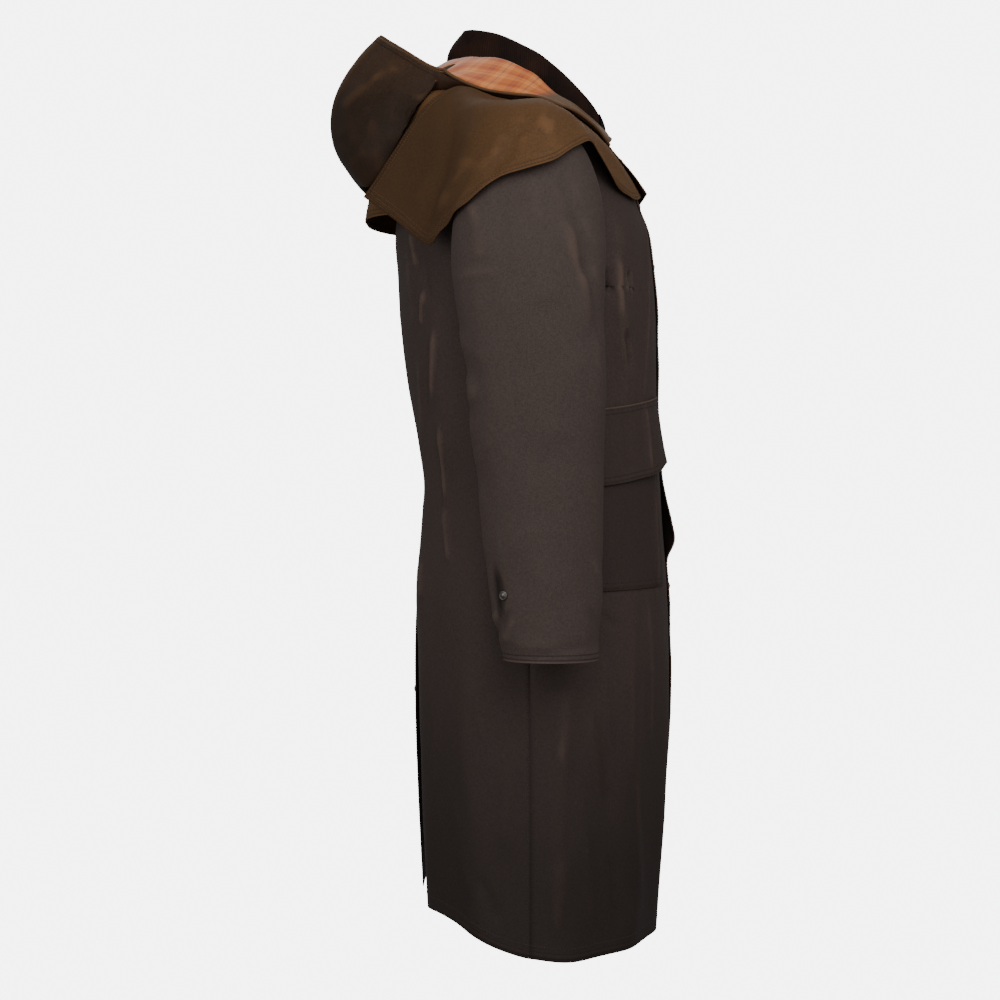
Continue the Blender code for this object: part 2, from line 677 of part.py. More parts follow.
def material(name, colour, roughness, metallic=0.0):
    made = bpy.data.materials.new(name)
    made.use_nodes = True
    shader = made.node_tree.nodes["Principled BSDF"]
    shader.inputs["Base Color"].default_value = (*colour, 1.0)
    shader.inputs["Roughness"].default_value = roughness
    shader.inputs["Metallic"].default_value = metallic
    return made


def quads(rows, columns, wrap):
    row = np.arange(rows - 1)[:, None]
    column = np.arange(columns if wrap else columns - 1)[None, :]
    after = (column + 1) % columns
    corners = (
        row * columns + column,
        (row + 1) * columns + column,
        (row + 1) * columns + after,
        row * columns + after,
    )
    return np.stack(np.broadcast_arrays(*corners), axis=-1).reshape(-1, 4)


def cloth(name, grid, finish, collection, wall=WALL, wrap=False):
    """A sheet on the grid, given its wall on the side that the grid's normals point to."""
    mesh = bpy.data.meshes.new(name)
    faces = quads(grid.shape[0], grid.shape[1], wrap)
    mesh.from_pydata(grid.reshape(-1, 3).tolist(), [], faces.tolist())
    mesh.shade_smooth()
    mesh.materials.append(finish)
    piece = bpy.data.objects.new(name, mesh)
    collection.objects.link(piece)
    solid = piece.modifiers.new("wall", "SOLIDIFY")
    solid.thickness = wall
    solid.offset = 1.0
    return piece


def seat(grid, row, column, wall):
    """A place on a face of the grid and the way it points, on the outer side of its wall.

    The whole parts of row and column choose the face and their fractions the place on it.
    """
    i, j = int(row), int(column)
    down, across = row - i, column - j
    corners = grid[i:i + 2, j:j + 2]
    normal = unit(np.cross(corners[1, 0] - corners[0, 1], corners[1, 1] - corners[0, 0]))
    low = corners[0, 0] * (1 - across) + corners[0, 1] * across
    high = corners[1, 0] * (1 - across) + corners[1, 1] * across
    return low * (1 - down) + high * down + normal * (wall + SEAM_GAP), normal


def stud(name, place, finish, collection):
    """Snap cap: a domed profile turned round its axis, standing on its seat."""
    position, normal = place
    profile = (
        (0.0, STUD_HEIGHT),
        (0.55 * STUD_RADIUS, 0.9 * STUD_HEIGHT),
        (0.92 * STUD_RADIUS, 0.5 * STUD_HEIGHT),
        (STUD_RADIUS, 0.0),
        (0.0, 0.0),
    )
    mesh = bpy.data.meshes.new(name)
    points = [(x, 0.0, z) for x, z in profile]
    mesh.from_pydata(points, [(i, i + 1) for i in range(len(points) - 1)], [])
    mesh.materials.append(finish)
    piece = bpy.data.objects.new(name, mesh)
    collection.objects.link(piece)
    turned = piece.modifiers.new("turned", "SCREW")
    turned.steps = turned.render_steps = STUD_SIDES
    turned.use_merge_vertices = True
    turned.merge_threshold = 0.0001
    piece.location = position
    piece.rotation_euler = Vector(normal).to_track_quat("Z", "Y").to_euler()
    return piece


def tube(name, points, radius, finish, collection):
    curve = bpy.data.curves.new(name, "CURVE")
    curve.dimensions = "3D"
    spline = curve.splines.new("POLY")
    spline.points.add(len(points) - 1)
    for spot, point in zip(spline.points, points):
        spot.co = (*point, 1.0)
    curve.bevel_depth = radius
    curve.bevel_resolution = 2
    curve.use_fill_caps = True
    curve.materials.append(finish)
    piece = bpy.data.objects.new(name, curve)
    collection.objects.link(piece)
    return piece


# Pieces

def make_body(finish, collection):
    """Fronts and backs, and their grids by name."""
    levels, shares = panel_levels(), panel_shares()
    grids = {}
    for side, hand in ((1, "right"), (-1, "left")):
        for is_front, part in ((True, "front"), (False, "back")):
            name = f"{part}_{hand}"
            grids[name] = panel_grid(side, is_front, levels, shares)
            cloth(name, grids[name], finish, collection)
    return grids


def make_sleeves(finish, collection):
    turns = np.arange(ARMHOLE_STEPS) * 360.0 / ARMHOLE_STEPS
    right = sleeve_grid(SLEEVE_STEPS, turns)
    cloth("sleeve_right", right, finish, collection, wrap=True)
    cloth("sleeve_left", mirrored(right), finish, collection, wrap=True)
    return right


def make_yoke(grids, finish, collection):
    """The upper backs' own points, moved out further towards the hem."""
    levels = panel_levels()
    rows = (levels > YOKE_HEM_LEVEL - 0.001) & (levels < NECK_LEVEL - 0.001)
    right = grids["back_right"][rows, YOKE_FIRST_COLUMN:-1]
    left = grids["back_left"][rows, 1:-YOKE_FIRST_COLUMN]
    centre = (grids["back_right"][rows, -1] + grids["back_left"][rows, 0]) / 2
    lower = np.concatenate((right, centre[:, None, :], left), axis=1)
    turn = np.degrees(np.arctan2(np.abs(lower[..., 1]), lower[..., 0] - AXIS_X))
    down = soft_step((levels[rows][:, None] - NECK_LEVEL) / (YOKE_HEM_LEVEL - NECK_LEVEL))
    lift = smooth(turn, YOKE["angle"], YOKE["lift"]) * down
    grid = moved_out(lower, WALL + LAY_GAP + lift)
    cloth("back_yoke", grid, finish, collection)
    return grid


def make_cape(under, finish, collection):
    sections = np.linspace(0.0, len(CAPE_ROWS) - 1.0, 2 * len(CAPE_ROWS) - 1)
    shares = np.linspace(1.0, 0.0, 9)
    clearance = 2 * LAY_GAP + (CAPE_CLEARANCE - 2 * LAY_GAP) * soft_step(shares / 0.25)[:, None]
    grids = {}
    for side, hand in ((1, "right"), (-1, "left")):
        lap = CAPE_LAP_OUT * soft_step(2.0 - sections)[None, :] if side < 0 else 0.0
        grid = cape_grid(sections, shares, side)
        if side < 0:
            grid = mirrored(grid)[:, ::-1]
        grid = laid_over(grid, under, clearance + lap)
        grid = grid if side > 0 else grid[:, ::-1]
        grids[hand] = grid
        cloth(f"cape_{hand}", grid, finish, collection)
    return grids


def make_collar(finish, collection):
    turns = np.linspace(COLLAR_START, COLLAR_END, 40)
    grid = collar_grid(turns, np.linspace(0.0, 1.0, 5))
    cloth("collar", grid, finish, collection, wall=COLLAR_WALL)
    return grid


def make_hood(under, outer_finish, lining_finish, collection):
    grid = laid_over(hood_grid(BAG["share"][::-1]), under, HOOD_CLEARANCE)
    lining = moved_out(grid, WALL + LINING_GAP)
    cloth("hood", grid, outer_finish, collection)
    cloth("hood_lining", lining, lining_finish, collection, wall=PATCH_WALL)
    along_rim = np.gradient(lining[0], axis=0)
    facing = normals_of(lining)[0]
    beyond = unit(np.cross(facing, along_rim))
    edge = lining[0] + beyond * (HOOD_EDGE_RADIUS + HOOD_EDGE_GAP) + facing * HOOD_EDGE_LIFT
    tube("hood_edge", edge, HOOD_EDGE_RADIUS, outer_finish, collection)


def make_storm_flap(finish, collection):
    levels = panel_levels()[:-1, None]
    free = angle_off_centre(FLAP_FREE_EDGE, levels)
    fixed = -angle_off_centre(FLAP_FIXED_EDGE, levels)
    share = np.array(FLAP_SHARES)[None, :]
    angle = fixed + (free - fixed) * share
    curl = smooth(levels, CURL["level"], CURL["curl"]) * soft_step((share - CURL_FROM) / (1 - CURL_FROM))
    grid = body_point(angle, hemmed(levels, angle), WALL + 3 * LAY_GAP + curl)
    cloth("storm_flap", grid, finish, collection, wall=FLAP_WALL)
    return grid


def make_pockets(finish, collection):
    step = 90.0 / PANEL_COLUMNS
    inner = np.arange(30.0, 70.0, step)
    angles = np.concatenate(((POCKET_FRONT_ANGLE,), inner, (POCKET_REAR_ANGLE,)))
    levels = np.linspace(POCKET_BOTTOM, POCKET_TOP, 6)
    patch_out = WALL + 2 * LAY_GAP
    patch = body_point(angles[None, :], levels[:, None], patch_out)
    left_patch = body_point(-angles[None, ::-1], levels[:, None], patch_out)
    cloth("pocket_right", patch, finish, collection, wall=PATCH_WALL)
    cloth("pocket_left", left_patch, finish, collection, wall=PATCH_WALL)
    inner = np.arange(22.5, 76.0, step)
    angles = np.concatenate(((POCKET_FLAP_FRONT_ANGLE,), inner, (POCKET_FLAP_REAR_ANGLE,)))
    top, bottom, flare = (
        smooth(angles, POCKET_FLAP["angle"], POCKET_FLAP[name])[None, :]
        for name in POCKET_FLAP_COLUMNS[1:]
    )
    share = np.linspace(1.0, 0.0, 4)[:, None]
    level = top + (bottom - top) * share
    out = patch_out + PATCH_WALL + 2 * LAY_GAP + flare * share**2
    flap = body_point(angles[None, :], level, out)
    left_flap = body_point(-angles[None, :], level, out)[:, ::-1]
    cloth("pocket_flap_right", flap, finish, collection)
    cloth("pocket_flap_left", left_flap, finish, collection)


def main():
    collection = cleared_collection("duster_coat")
    waxed = material("waxed_cotton", (0.075, 0.062, 0.052), 0.62)
    cape_wax = material("waxed_cotton_cape", (0.115, 0.085, 0.062), 0.60)
    corduroy = material("corduroy", (0.040, 0.028, 0.022), 0.85)
    plaid = material("plaid_lining", (0.45, 0.30, 0.18), 0.85)
    metal = material("dark_metal", (0.20, 0.19, 0.18), 0.35, 1.0)

    grids = make_body(waxed, collection)
    sleeve = make_sleeves(waxed, collection)
    yoke = make_yoke(grids, cape_wax, collection)
    body_under = under_samples()
    with_yoke = [np.concatenate(pair) for pair in zip(body_under, samples_of(yoke, WALL))]
    flap = make_storm_flap(waxed, collection)
    with_flap = [np.concatenate(pair) for pair in zip(with_yoke, samples_of(flap, FLAP_WALL))]
    capes = make_cape(with_flap, cape_wax, collection)
    make_collar(corduroy, collection)
    cape_samples = [samples_of(grid, WALL) for grid in capes.values()]
    all_under = [np.concatenate(parts) for parts in zip(with_flap, *cape_samples)]
    make_hood(all_under, cape_wax, plaid, collection)
    make_pockets(waxed, collection)

    for number, row in enumerate(FRONT_STUD_ROWS, 1):
        place = seat(flap, len(flap) - 1.5 - row, 1.5, FLAP_WALL)
        stud(f"stud_front_{number}", place, metal, collection)
    for number, row in enumerate(CAPE_STUD_ROWS, 1):
        place = seat(capes["left"], row, CAPE_STUD_COLUMN, WALL)
        stud(f"stud_cape_{number}", place, metal, collection)
    stud("stud_vent", seat(grids["back_left"], *VENT_STUD_PLACE, WALL), metal, collection)
    position, normal = seat(sleeve, *CUFF_STUD_PLACE, WALL)
    stud("stud_cuff_right", (position, normal), metal, collection)
    flip = np.array((1.0, -1.0, 1.0))
    stud("stud_cuff_left", (position * flip, normal * flip), metal, collection)


if __name__ == "__main__":
    main()
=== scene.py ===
"""Looks of the duster coat: waxed cloth, corduroy collar, plaid hood lining, snap studs and stitching.

The coat's front is +X, the wearer's left is +Y and up is +Z, in metres, as in the solids. The tables and
the functions of the forms are those of the solids; the pieces here are finer and have their creases.
"""

import functools

import bmesh
import bpy
import numpy as np
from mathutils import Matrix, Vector


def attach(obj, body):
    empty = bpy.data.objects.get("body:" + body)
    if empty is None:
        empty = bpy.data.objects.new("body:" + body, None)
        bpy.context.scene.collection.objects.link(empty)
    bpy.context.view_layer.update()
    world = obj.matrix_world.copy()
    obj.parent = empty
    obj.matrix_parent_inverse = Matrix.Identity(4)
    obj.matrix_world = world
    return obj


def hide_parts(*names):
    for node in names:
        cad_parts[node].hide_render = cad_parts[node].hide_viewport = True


bl_info = {
    "name": "Duster coat",
    "version": (1, 0, 0),
    "blender": (4, 5, 0),
    "location": "3D View > Sidebar > Coat",
    "description": "Cloth, collar, hood, studs and stitching of a waxed duster coat",
    "category": "Object",
}

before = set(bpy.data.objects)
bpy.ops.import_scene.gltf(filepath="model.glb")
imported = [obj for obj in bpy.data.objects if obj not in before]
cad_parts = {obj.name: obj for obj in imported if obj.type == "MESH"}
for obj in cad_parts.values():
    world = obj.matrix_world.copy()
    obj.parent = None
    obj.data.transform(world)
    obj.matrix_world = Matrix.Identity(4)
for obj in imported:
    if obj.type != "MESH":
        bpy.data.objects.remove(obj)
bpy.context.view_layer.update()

# Cloth and seams
WALL = 0.0015
COLLAR_WALL = 0.003
FLAP_WALL = 0.002
PATCH_WALL = 0.0012
SEAM_GAP = -0.0004
LAY_GAP = 0.0004
CAPE_CLEARANCE = 0.0025
HOOD_CLEARANCE = 0.0026

# Body form: a row for each level, from the hem up. A ring rises towards the back centre and drops
# towards the front centre by the amounts given.
AXIS_X = 0.011
NECK_LEVEL = -0.022
SHOULDER_LEVEL = -0.062
UNDERARM_LEVEL = -0.290
HEM_LEVEL = -1.190
SKIRT_LEVEL = -0.560
BODY_COLUMNS = ("level", "front", "back", "half_width", "drop", "rise", "square")
BODY_ROWS = (
    (-1.230, 0.194, -0.137, 0.305, 0.000, 0.000, 2.40),
    (-1.190, 0.196, -0.138, 0.300, 0.000, 0.000, 2.40),
    (-1.000, 0.209, -0.146, 0.283, 0.000, 0.000, 2.40),
    (-0.820, 0.216, -0.150, 0.262, 0.000, 0.000, 2.40),
    (-0.700, 0.212, -0.149, 0.252, 0.000, 0.000, 2.38),
    (-0.620, 0.205, -0.142, 0.246, 0.000, 0.000, 2.36),
    (-0.560, 0.2015, -0.138, 0.241, 0.000, 0.000, 2.34),
    (-0.500, 0.199, -0.147, 0.238, 0.000, 0.000, 2.32),
    (-0.420, 0.197, -0.162, 0.235, 0.000, 0.000, 2.30),
    (-0.340, 0.195, -0.172, 0.232, 0.000, 0.000, 2.30),
    (-0.260, 0.190, -0.177, 0.230, 0.000, 0.000, 2.28),
    (-0.200, 0.182, -0.180, 0.228, 0.003, 0.003, 2.25),
    (-0.160, 0.1725, -0.173, 0.227, 0.016, 0.018, 2.20),
    (-0.100, 0.158, -0.158, 0.224, 0.037, 0.040, 2.10),
    (-0.062, 0.1415, -0.140, 0.222, 0.054, 0.056, 2.00),
    (-0.048, 0.131, -0.127, 0.170, 0.053, 0.056, 2.00),
    (-0.034, 0.1225, -0.115, 0.118, 0.052, 0.054, 2.00),
    (-0.022, 0.1175, -0.102, 0.088, 0.0515, 0.052, 2.00),
)

# The hem's own level, by angle from the front centre
HEM_COLUMNS = ("angle", "level")
HEM_ROWS = (
    (0.0, -1.200),
    (17.0, -1.193),
    (64.0, -1.188),
    (80.0, -1.190),
    (100.0, -1.176),
    (118.0, -1.156),
    (143.0, -1.148),
    (160.0, -1.155),
    (190.0, -1.170),
)

# Folds of the body, on the side given, or on both at 0. The width is an angle, the depth goes outwards.
FOLD_COLUMNS = (
    "side", "angle_top", "angle_bottom", "level_top", "level_bottom", "width", "depth",
)
FOLD_ROWS = (
    (1, 140.0, 146.0, -0.130, -0.320, 7.0, 0.0060),
    (1, 128.0, 134.0, -0.270, -0.560, 8.0, 0.0070),
    (1, 160.0, 156.0, -0.420, -0.820, 9.0, 0.0050),
    (1, 150.0, 148.0, -0.620, -1.330, 9.0, 0.0070),
    (1, 116.0, 110.0, -0.660, -1.330, 10.0, 0.0080),
    (1, 82.0, 79.0, -0.700, -1.330, 9.0, 0.0070),
    (1, 52.0, 49.0, -0.600, -1.330, 8.0, 0.0060),
    (1, 30.0, 33.0, -0.400, -0.760, 7.0, 0.0045),
    (1, 24.0, 20.0, -0.740, -1.330, 7.0, 0.0050),
    (1, 48.0, 50.0, -0.160, -0.400, 6.0, 0.0060),
    (-1, 136.0, 142.0, -0.140, -0.340, 8.0, 0.0060),
    (-1, 130.0, 133.0, -0.300, -0.600, 8.0, 0.0060),
    (-1, 158.0, 160.0, -0.460, -0.860, 9.0, 0.0050),
    (-1, 146.0, 143.0, -0.640, -1.330, 9.0, 0.0080),
    (-1, 112.0, 107.0, -0.620, -1.330, 10.0, 0.0070),
    (-1, 77.0, 75.0, -0.680, -1.330, 9.0, 0.0080),
    (-1, 50.0, 46.0, -0.640, -1.330, 8.0, 0.0060),
    (-1, 33.0, 31.0, -0.420, -0.780, 7.0, 0.0040),
    (-1, 22.0, 19.0, -0.700, -1.330, 7.0, 0.0050),
    (-1, 46.0, 50.0, -0.170, -0.410, 6.0, 0.0060),
)

# Riding vent: how far each back reaches towards the wearer's left of the centre, and how far out it
# stands. The left back laps over the right at the top and the two spread to the hem.
VENT_COLUMNS = ("level", "right_edge", "left_edge", "right_out", "left_out")
VENT_ROWS = (
    (-1.230, -0.040, 0.016, -0.0050, 0.0040),
    (-1.165, -0.036, 0.012, -0.0050, 0.0040),
    (-1.080, -0.020, -0.006, -0.0050, 0.0038),
    (-0.980, -0.006, -0.020, -0.0045, 0.0034),
    (-0.880, 0.000, -0.026, -0.0038, 0.0028),
    (-0.800, 0.000, 0.000, -0.0026, 0.0022),
    (-0.735, 0.000, 0.000, 0.0000, 0.0000),
)
VENT_WIDTH = 22.0

# Armholes: an oval in angle and level round the side of the body
ARMHOLE_HALF_ANGLE = 28.0
ARMHOLE_MIDDLE = (SHOULDER_LEVEL + UNDERARM_LEVEL) / 2
ARMHOLE_HALF = (SHOULDER_LEVEL - UNDERARM_LEVEL) / 2
ARMHOLE_STEPS = 18

# Sleeve: a row for each ring below the armhole, by its outermost and innermost points. Out is the
# distance from the centre plane.
SLEEVE_COLUMNS = ("outer_out", "outer_z", "inner_out", "inner_z", "middle_x", "half_x")
SLEEVE_ROWS = (
    (0.2580, -0.068, 0.2440, -0.2915, 0.0100, 0.0880),
    (0.2920, -0.086, 0.2500, -0.2975, 0.0090, 0.0940),
    (0.3220, -0.122, 0.2540, -0.3090, 0.0080, 0.0980),
    (0.3420, -0.180, 0.2545, -0.3300, 0.0075, 0.0995),
    (0.3520, -0.250, 0.2545, -0.3560, 0.0090, 0.0970),
    (0.3570, -0.330, 0.2540, -0.3900, 0.0135, 0.0925),
    (0.3580, -0.420, 0.2540, -0.4400, 0.0190, 0.0888),
    (0.3590, -0.510, 0.2570, -0.5130, 0.0217, 0.0839),
    (0.3600, -0.577, 0.2610, -0.5770, 0.0250, 0.0793),
    (0.3615, -0.6425, 0.2665, -0.6425, 0.0276, 0.0754),
    (0.3640, -0.708, 0.2725, -0.7080, 0.0302, 0.0701),
    (0.3680, -0.7715, 0.2785, -0.7715, 0.0366, 0.0622),
    (0.3690, -0.784, 0.2795, -0.7840, 0.0372, 0.0607),
)

# Collar: height and outward lean of its top edge, by angle
COLLAR_COLUMNS = ("angle", "height", "lean", "roll")
COLLAR_ROWS = (
    (0.0, 0.024, 0.0010, 0.0010),
    (30.0, 0.031, 0.0020, 0.0020),
    (53.0, 0.038, 0.0040, 0.0040),
    (72.0, 0.052, 0.0050, 0.0050),
    (94.0, 0.075, 0.0050, 0.0060),
    (111.0, 0.085, 0.0020, 0.0060),
    (128.0, 0.082, -0.0040, 0.0080),
    (150.0, 0.068, -0.0150, 0.0110),
    (180.0, 0.056, -0.0240, 0.0110),
)
COLLAR_START = 8.0
COLLAR_END = 386.0
COLLAR_LAP_FROM = 328.0
COLLAR_LAP_FULL = 356.0
COLLAR_LIFT = 0.0024

# Cape: a row for each section of the right half, front edge first. The section runs from the neck over
# the ridge of the shoulder to its hem point, and bows up and out between the last two.
CAPE_COLUMNS = (
    "neck_angle", "ridge_angle", "hem_x", "hem_out", "hem_z", "bow_up", "bow_out",
)
CAPE_ROWS = (
    (9.0, 5.0, 0.1710, 0.010, -0.1460, 0.000, 0.000),
    (28.0, 26.0, 0.1650, 0.088, -0.1600, 0.000, 0.004),
    (43.0, 42.0, 0.1510, 0.134, -0.1620, 0.002, 0.006),
    (57.0, 56.0, 0.1250, 0.184, -0.1500, 0.008, 0.006),
    (72.0, 70.0, 0.0850, 0.258, -0.1125, 0.012, 0.004),
    (88.0, 86.0, 0.0350, 0.334, -0.1460, 0.034, 0.006),
    (103.0, 101.0, -0.0294, 0.340, -0.1667, 0.036, 0.006),
    (115.0, 115.0, -0.0780, 0.320, -0.2040, 0.036, 0.010),
    (123.0, 127.0, -0.1216, 0.247, -0.2407, 0.010, 0.016),
    (129.0, 138.0, -0.2180, 0.134, -0.1620, 0.008, 0.010),
)
CAPE_NECK_LEVEL = -0.0265
CAPE_RIDGE_LEVEL = -0.056
CAPE_RIDGE_SHARE = 0.45
CAPE_LAP_ANGLES = (-13.0, -14.0)
CAPE_LAP_HEM = (0.1740, -0.045, -0.1500)
CAPE_LAP_OUT = 0.0036

# Back yoke flap: how far its hem stands off the back, by angle from the front centre
YOKE_COLUMNS = ("angle", "lift")
YOKE_ROWS = (
    (100.0, 0.000),
    (118.0, 0.002),
    (130.0, 0.010),
    (145.0, 0.034),
    (160.0, 0.042),
    (180.0, 0.040),
)
YOKE_HEM_LEVEL = -0.196
YOKE_LEVELS = (-0.1945, -0.028)
YOKE_FIRST_COLUMN = 2

# Hood: a row for each section from the throat to the centre back. Rise is the height of its neck edge
# on the collar. Fullness scales the bag's profile, which the second table gives at the centre back, and
# spread widens the bag sideways.
HOOD_COLUMNS = ("angle", "rise", "rim_x", "rim_out", "rim_z", "fullness", "spread")
HOOD_ROWS = (
    (14.0, 0.005, 0.1215, 0.036, -0.0780, 0.00, 0.000),
    (35.0, 0.007, 0.0990, 0.066, -0.0550, 0.00, 0.000),
    (60.0, 0.009, 0.0540, 0.095, -0.0290, 0.00, 0.000),
    (75.0, 0.012, 0.0230, 0.110, -0.0200, 0.00, 0.000),
    (87.0, 0.032, -0.0070, 0.117, -0.0160, 0.00, 0.000),
    (103.0, 0.045, -0.0480, 0.122, -0.0110, 0.01, 0.000),
    (117.0, 0.046, -0.0830, 0.124, 0.0010, 0.04, 0.003),
    (129.0, 0.038, -0.1065, 0.121, 0.0120, 0.10, 0.006),
    (137.0, 0.032, -0.1210, 0.114, 0.0195, 0.30, 0.016),
    (144.0, 0.025, -0.1355, 0.106, 0.0280, 0.66, 0.034),
    (153.0, 0.019, -0.1540, 0.091, 0.0420, 0.92, 0.040),
    (164.0, 0.014, -0.1780, 0.064, 0.0610, 0.99, 0.030),
    (180.0, 0.012, -0.2073, 0.000, 0.0880, 1.00, 0.000),
)
HOOD_TURNS = (
    14, 24, 35, 47, 60, 75, 87, 95, 103, 110, 117, 123, 129, 134, 139, 144, 150, 159, 170, 180,
)
BAG_COLUMNS = ("share", "back", "up")
BAG_ROWS = (
    (0.00, 0.000, 0.000),
    (0.12, 0.052, -0.030),
    (0.24, 0.084, -0.080),
    (0.34, 0.104, -0.134),
    (0.43, 0.122, -0.173),
    (0.54, 0.146, -0.150),
    (0.65, 0.164, -0.115),
    (0.75, 0.168, -0.070),
    (0.85, 0.155, -0.025),
    (0.93, 0.129, 0.015),
    (1.00, 0.100, 0.045),
)
HOOD_STAND = 0.0030
HOOD_EDGE_RADIUS = 0.0022
HOOD_EDGE_GAP = 0.0010
HOOD_EDGE_LIFT = 0.0008
HOOD_LAP_END = 40.0
HOOD_LAP_FADE = 10.0
LINING_GAP = 0.0006

# Storm flap over the front closing: its edges from the centre plane, and how far its free edge curls out
FLAP_FREE_EDGE = 0.032
FLAP_FIXED_EDGE = 0.034
FLAP_SHARES = (0.0, 0.5, 0.8, 1.0)
CURL_FROM = 0.3
CURL_COLUMNS = ("level", "curl")
CURL_ROWS = (
    (-0.700, 0.000),
    (-0.668, 0.002),
    (-0.650, 0.012),
    (-0.620, 0.011),
    (-0.590, 0.006),
    (-0.555, 0.001),
    (-0.520, 0.000),
)

# Pockets on the fronts: angles and levels of their corners
POCKET_FRONT_ANGLE = 24.0
POCKET_REAR_ANGLE = 72.0
POCKET_TOP = -0.478
POCKET_BOTTOM = -0.703
POCKET_FLAP_FRONT_ANGLE = 18.5
POCKET_FLAP_REAR_ANGLE = 77.0
POCKET_FLAP_COLUMNS = ("angle", "top", "bottom", "flare")
POCKET_FLAP_ROWS = (
    (18.5, -0.438, -0.532, 0.0110),
    (30.0, -0.443, -0.545, 0.0060),
    (45.0, -0.450, -0.554, 0.0030),
    (77.0, -0.461, -0.566, 0.0010),
)

# Grid of the solids
LAY_ROUNDS = ((1, 3), (4, 3), (4, 2), (4, 2), (4, 1), (4, 1), (4, 0), (4, 0))
NEAREST_BLOCK = 400
UNDER_LOWEST = -0.40
UNDER_ANGLE_STEP = 3.0
UNDER_LEVEL_STEP = 0.007
PANEL_COLUMNS = 12
SKIRT_ROWS = 16
UPPER_LEVELS = (-0.048, -0.034)

# Creases, read off the photo: the pixels of a line's two ends, then its width, height and bow.
# Below nought is a trough.
CREASE_COLUMNS = ("from_px", "from_py", "to_px", "to_py", "width_mm", "height_mm", "bow_mm")
BODY_CREASE_ROWS = (
    (414, 232, 419, 268, 6, 4, 0),
    (428, 290, 424, 326, 7, 5, 3),
    (423, 250, 430, 300, 7, -3, 0),
    (436, 330, 433, 400, 8, 5, -3),
    (430, 330, 428, 420, 8, -3, 0),
    (440, 425, 446, 500, 8, 5, 4),
    (436, 430, 440, 520, 9, -3, 0),
    (446, 505, 450, 565, 9, 4, 0),
    (420, 350, 424, 440, 8, 3, 0),
    (424, 560, 422, 600, 10, 4, 0),
    (410, 250, 416, 330, 8, 2.5, 0),
    (606, 270, 609, 296, 4, -7, 0),
    (628, 272, 630, 296, 4, -7, 0),
    (616, 255, 620, 320, 7, 4, 0),
    (626, 330, 630, 366, 4.5, -5, 0),
    (638, 215, 642, 400, 6, 3, 4),
    (610, 300, 622, 400, 9, -2, 0),
    (640, 400, 645, 476, 5, 4, 0),
    (620, 410, 626, 480, 10, -2, 0),
    (652, 480, 655, 600, 5, 4, 3),
    (646, 590, 650, 760, 7, 3, 0),
    (640, 600, 636, 800, 8, -2.5, 5),
    (598, 610, 616, 630, 4, -2.5, 0),
    (602, 640, 606, 760, 10, 2, 0),
    (556, 690, 550, 760, 9, -2, 0),
    (563, 690, 560, 770, 9, 2, 0),
    (590, 700, 600, 800, 10, 2, 5),
    (600, 720, 612, 820, 8, -2, 0),
    (575, 760, 570, 860, 10, -2, 0),
    (585, 830, 592, 930, 9, 2, 0),
    (520, 740, 505, 860, 14, 2, 8),
    (470, 700, 480, 800, 14, -2, 0),
    (455, 800, 470, 900, 12, 2, 0),
    (440, 700, 436, 800, 10, 2, 0),
    (560, 860, 556, 940, 10, 2.5, 0),
    (610, 860, 622, 930, 9, -2, 0),
    (635, 700, 640, 900, 9, 2.5, 6),
    (480, 880, 500, 930, 10, -2, 0),
)
SLEEVE_CREASE_ROWS = (
    (452, 268, 498, 265, 5, -1, 3),
    (455, 277, 502, 272, 6, 1, 3),
    (572, 212, 586, 276, 9, -5, 6),
    (583, 258, 599, 338, 8, -4, 6),
    (560, 222, 590, 328, 11, 3, 6),
    (596, 330, 601, 420, 7, 2, 0),
    (497, 641, 508, 611, 4.5, -3, 0),
    (505, 643, 514, 618, 6, 2, 0),
    (489, 636, 498, 612, 6, 2, 0),
    (457, 325, 466, 362, 7, 3, 3),
    (465, 372, 472, 405, 7, 3, 3),
    (470, 410, 478, 470, 8, 3, 0),
    (476, 475, 486, 560, 8, 2.5, 0),
    (462, 345, 480, 385, 12, -2, 0),
    (474, 430, 488, 500, 12, -2, 0),
    (510, 380, 556, 446, 26, 2, 8),
    (540, 300, 575, 360, 24, -2, 6),
    (520, 520, 560, 600, 26, 2, 0),
    (500, 300, 520, 420, 20, -1.5, 0),
    (594, 560, 599, 620, 7, 2.5, 3),
    (590, 610, 598, 655, 6, -2.5, 2),
    (560, 172, 578, 225, 10, -3, 0),
    (470, 200, 480, 262, 10, 2.5, 4),
    (505, 640, 560, 650, 8, 1.5, 0),
    (530, 655, 597, 645, 7, -1.2, 0),
    (530, 175, 540, 230, 12, 1.5, 0),
    (500, 190, 505, 250, 12, -1.5, 0),
    (496, 567, 501, 627, 4.5, -6, 2),
)
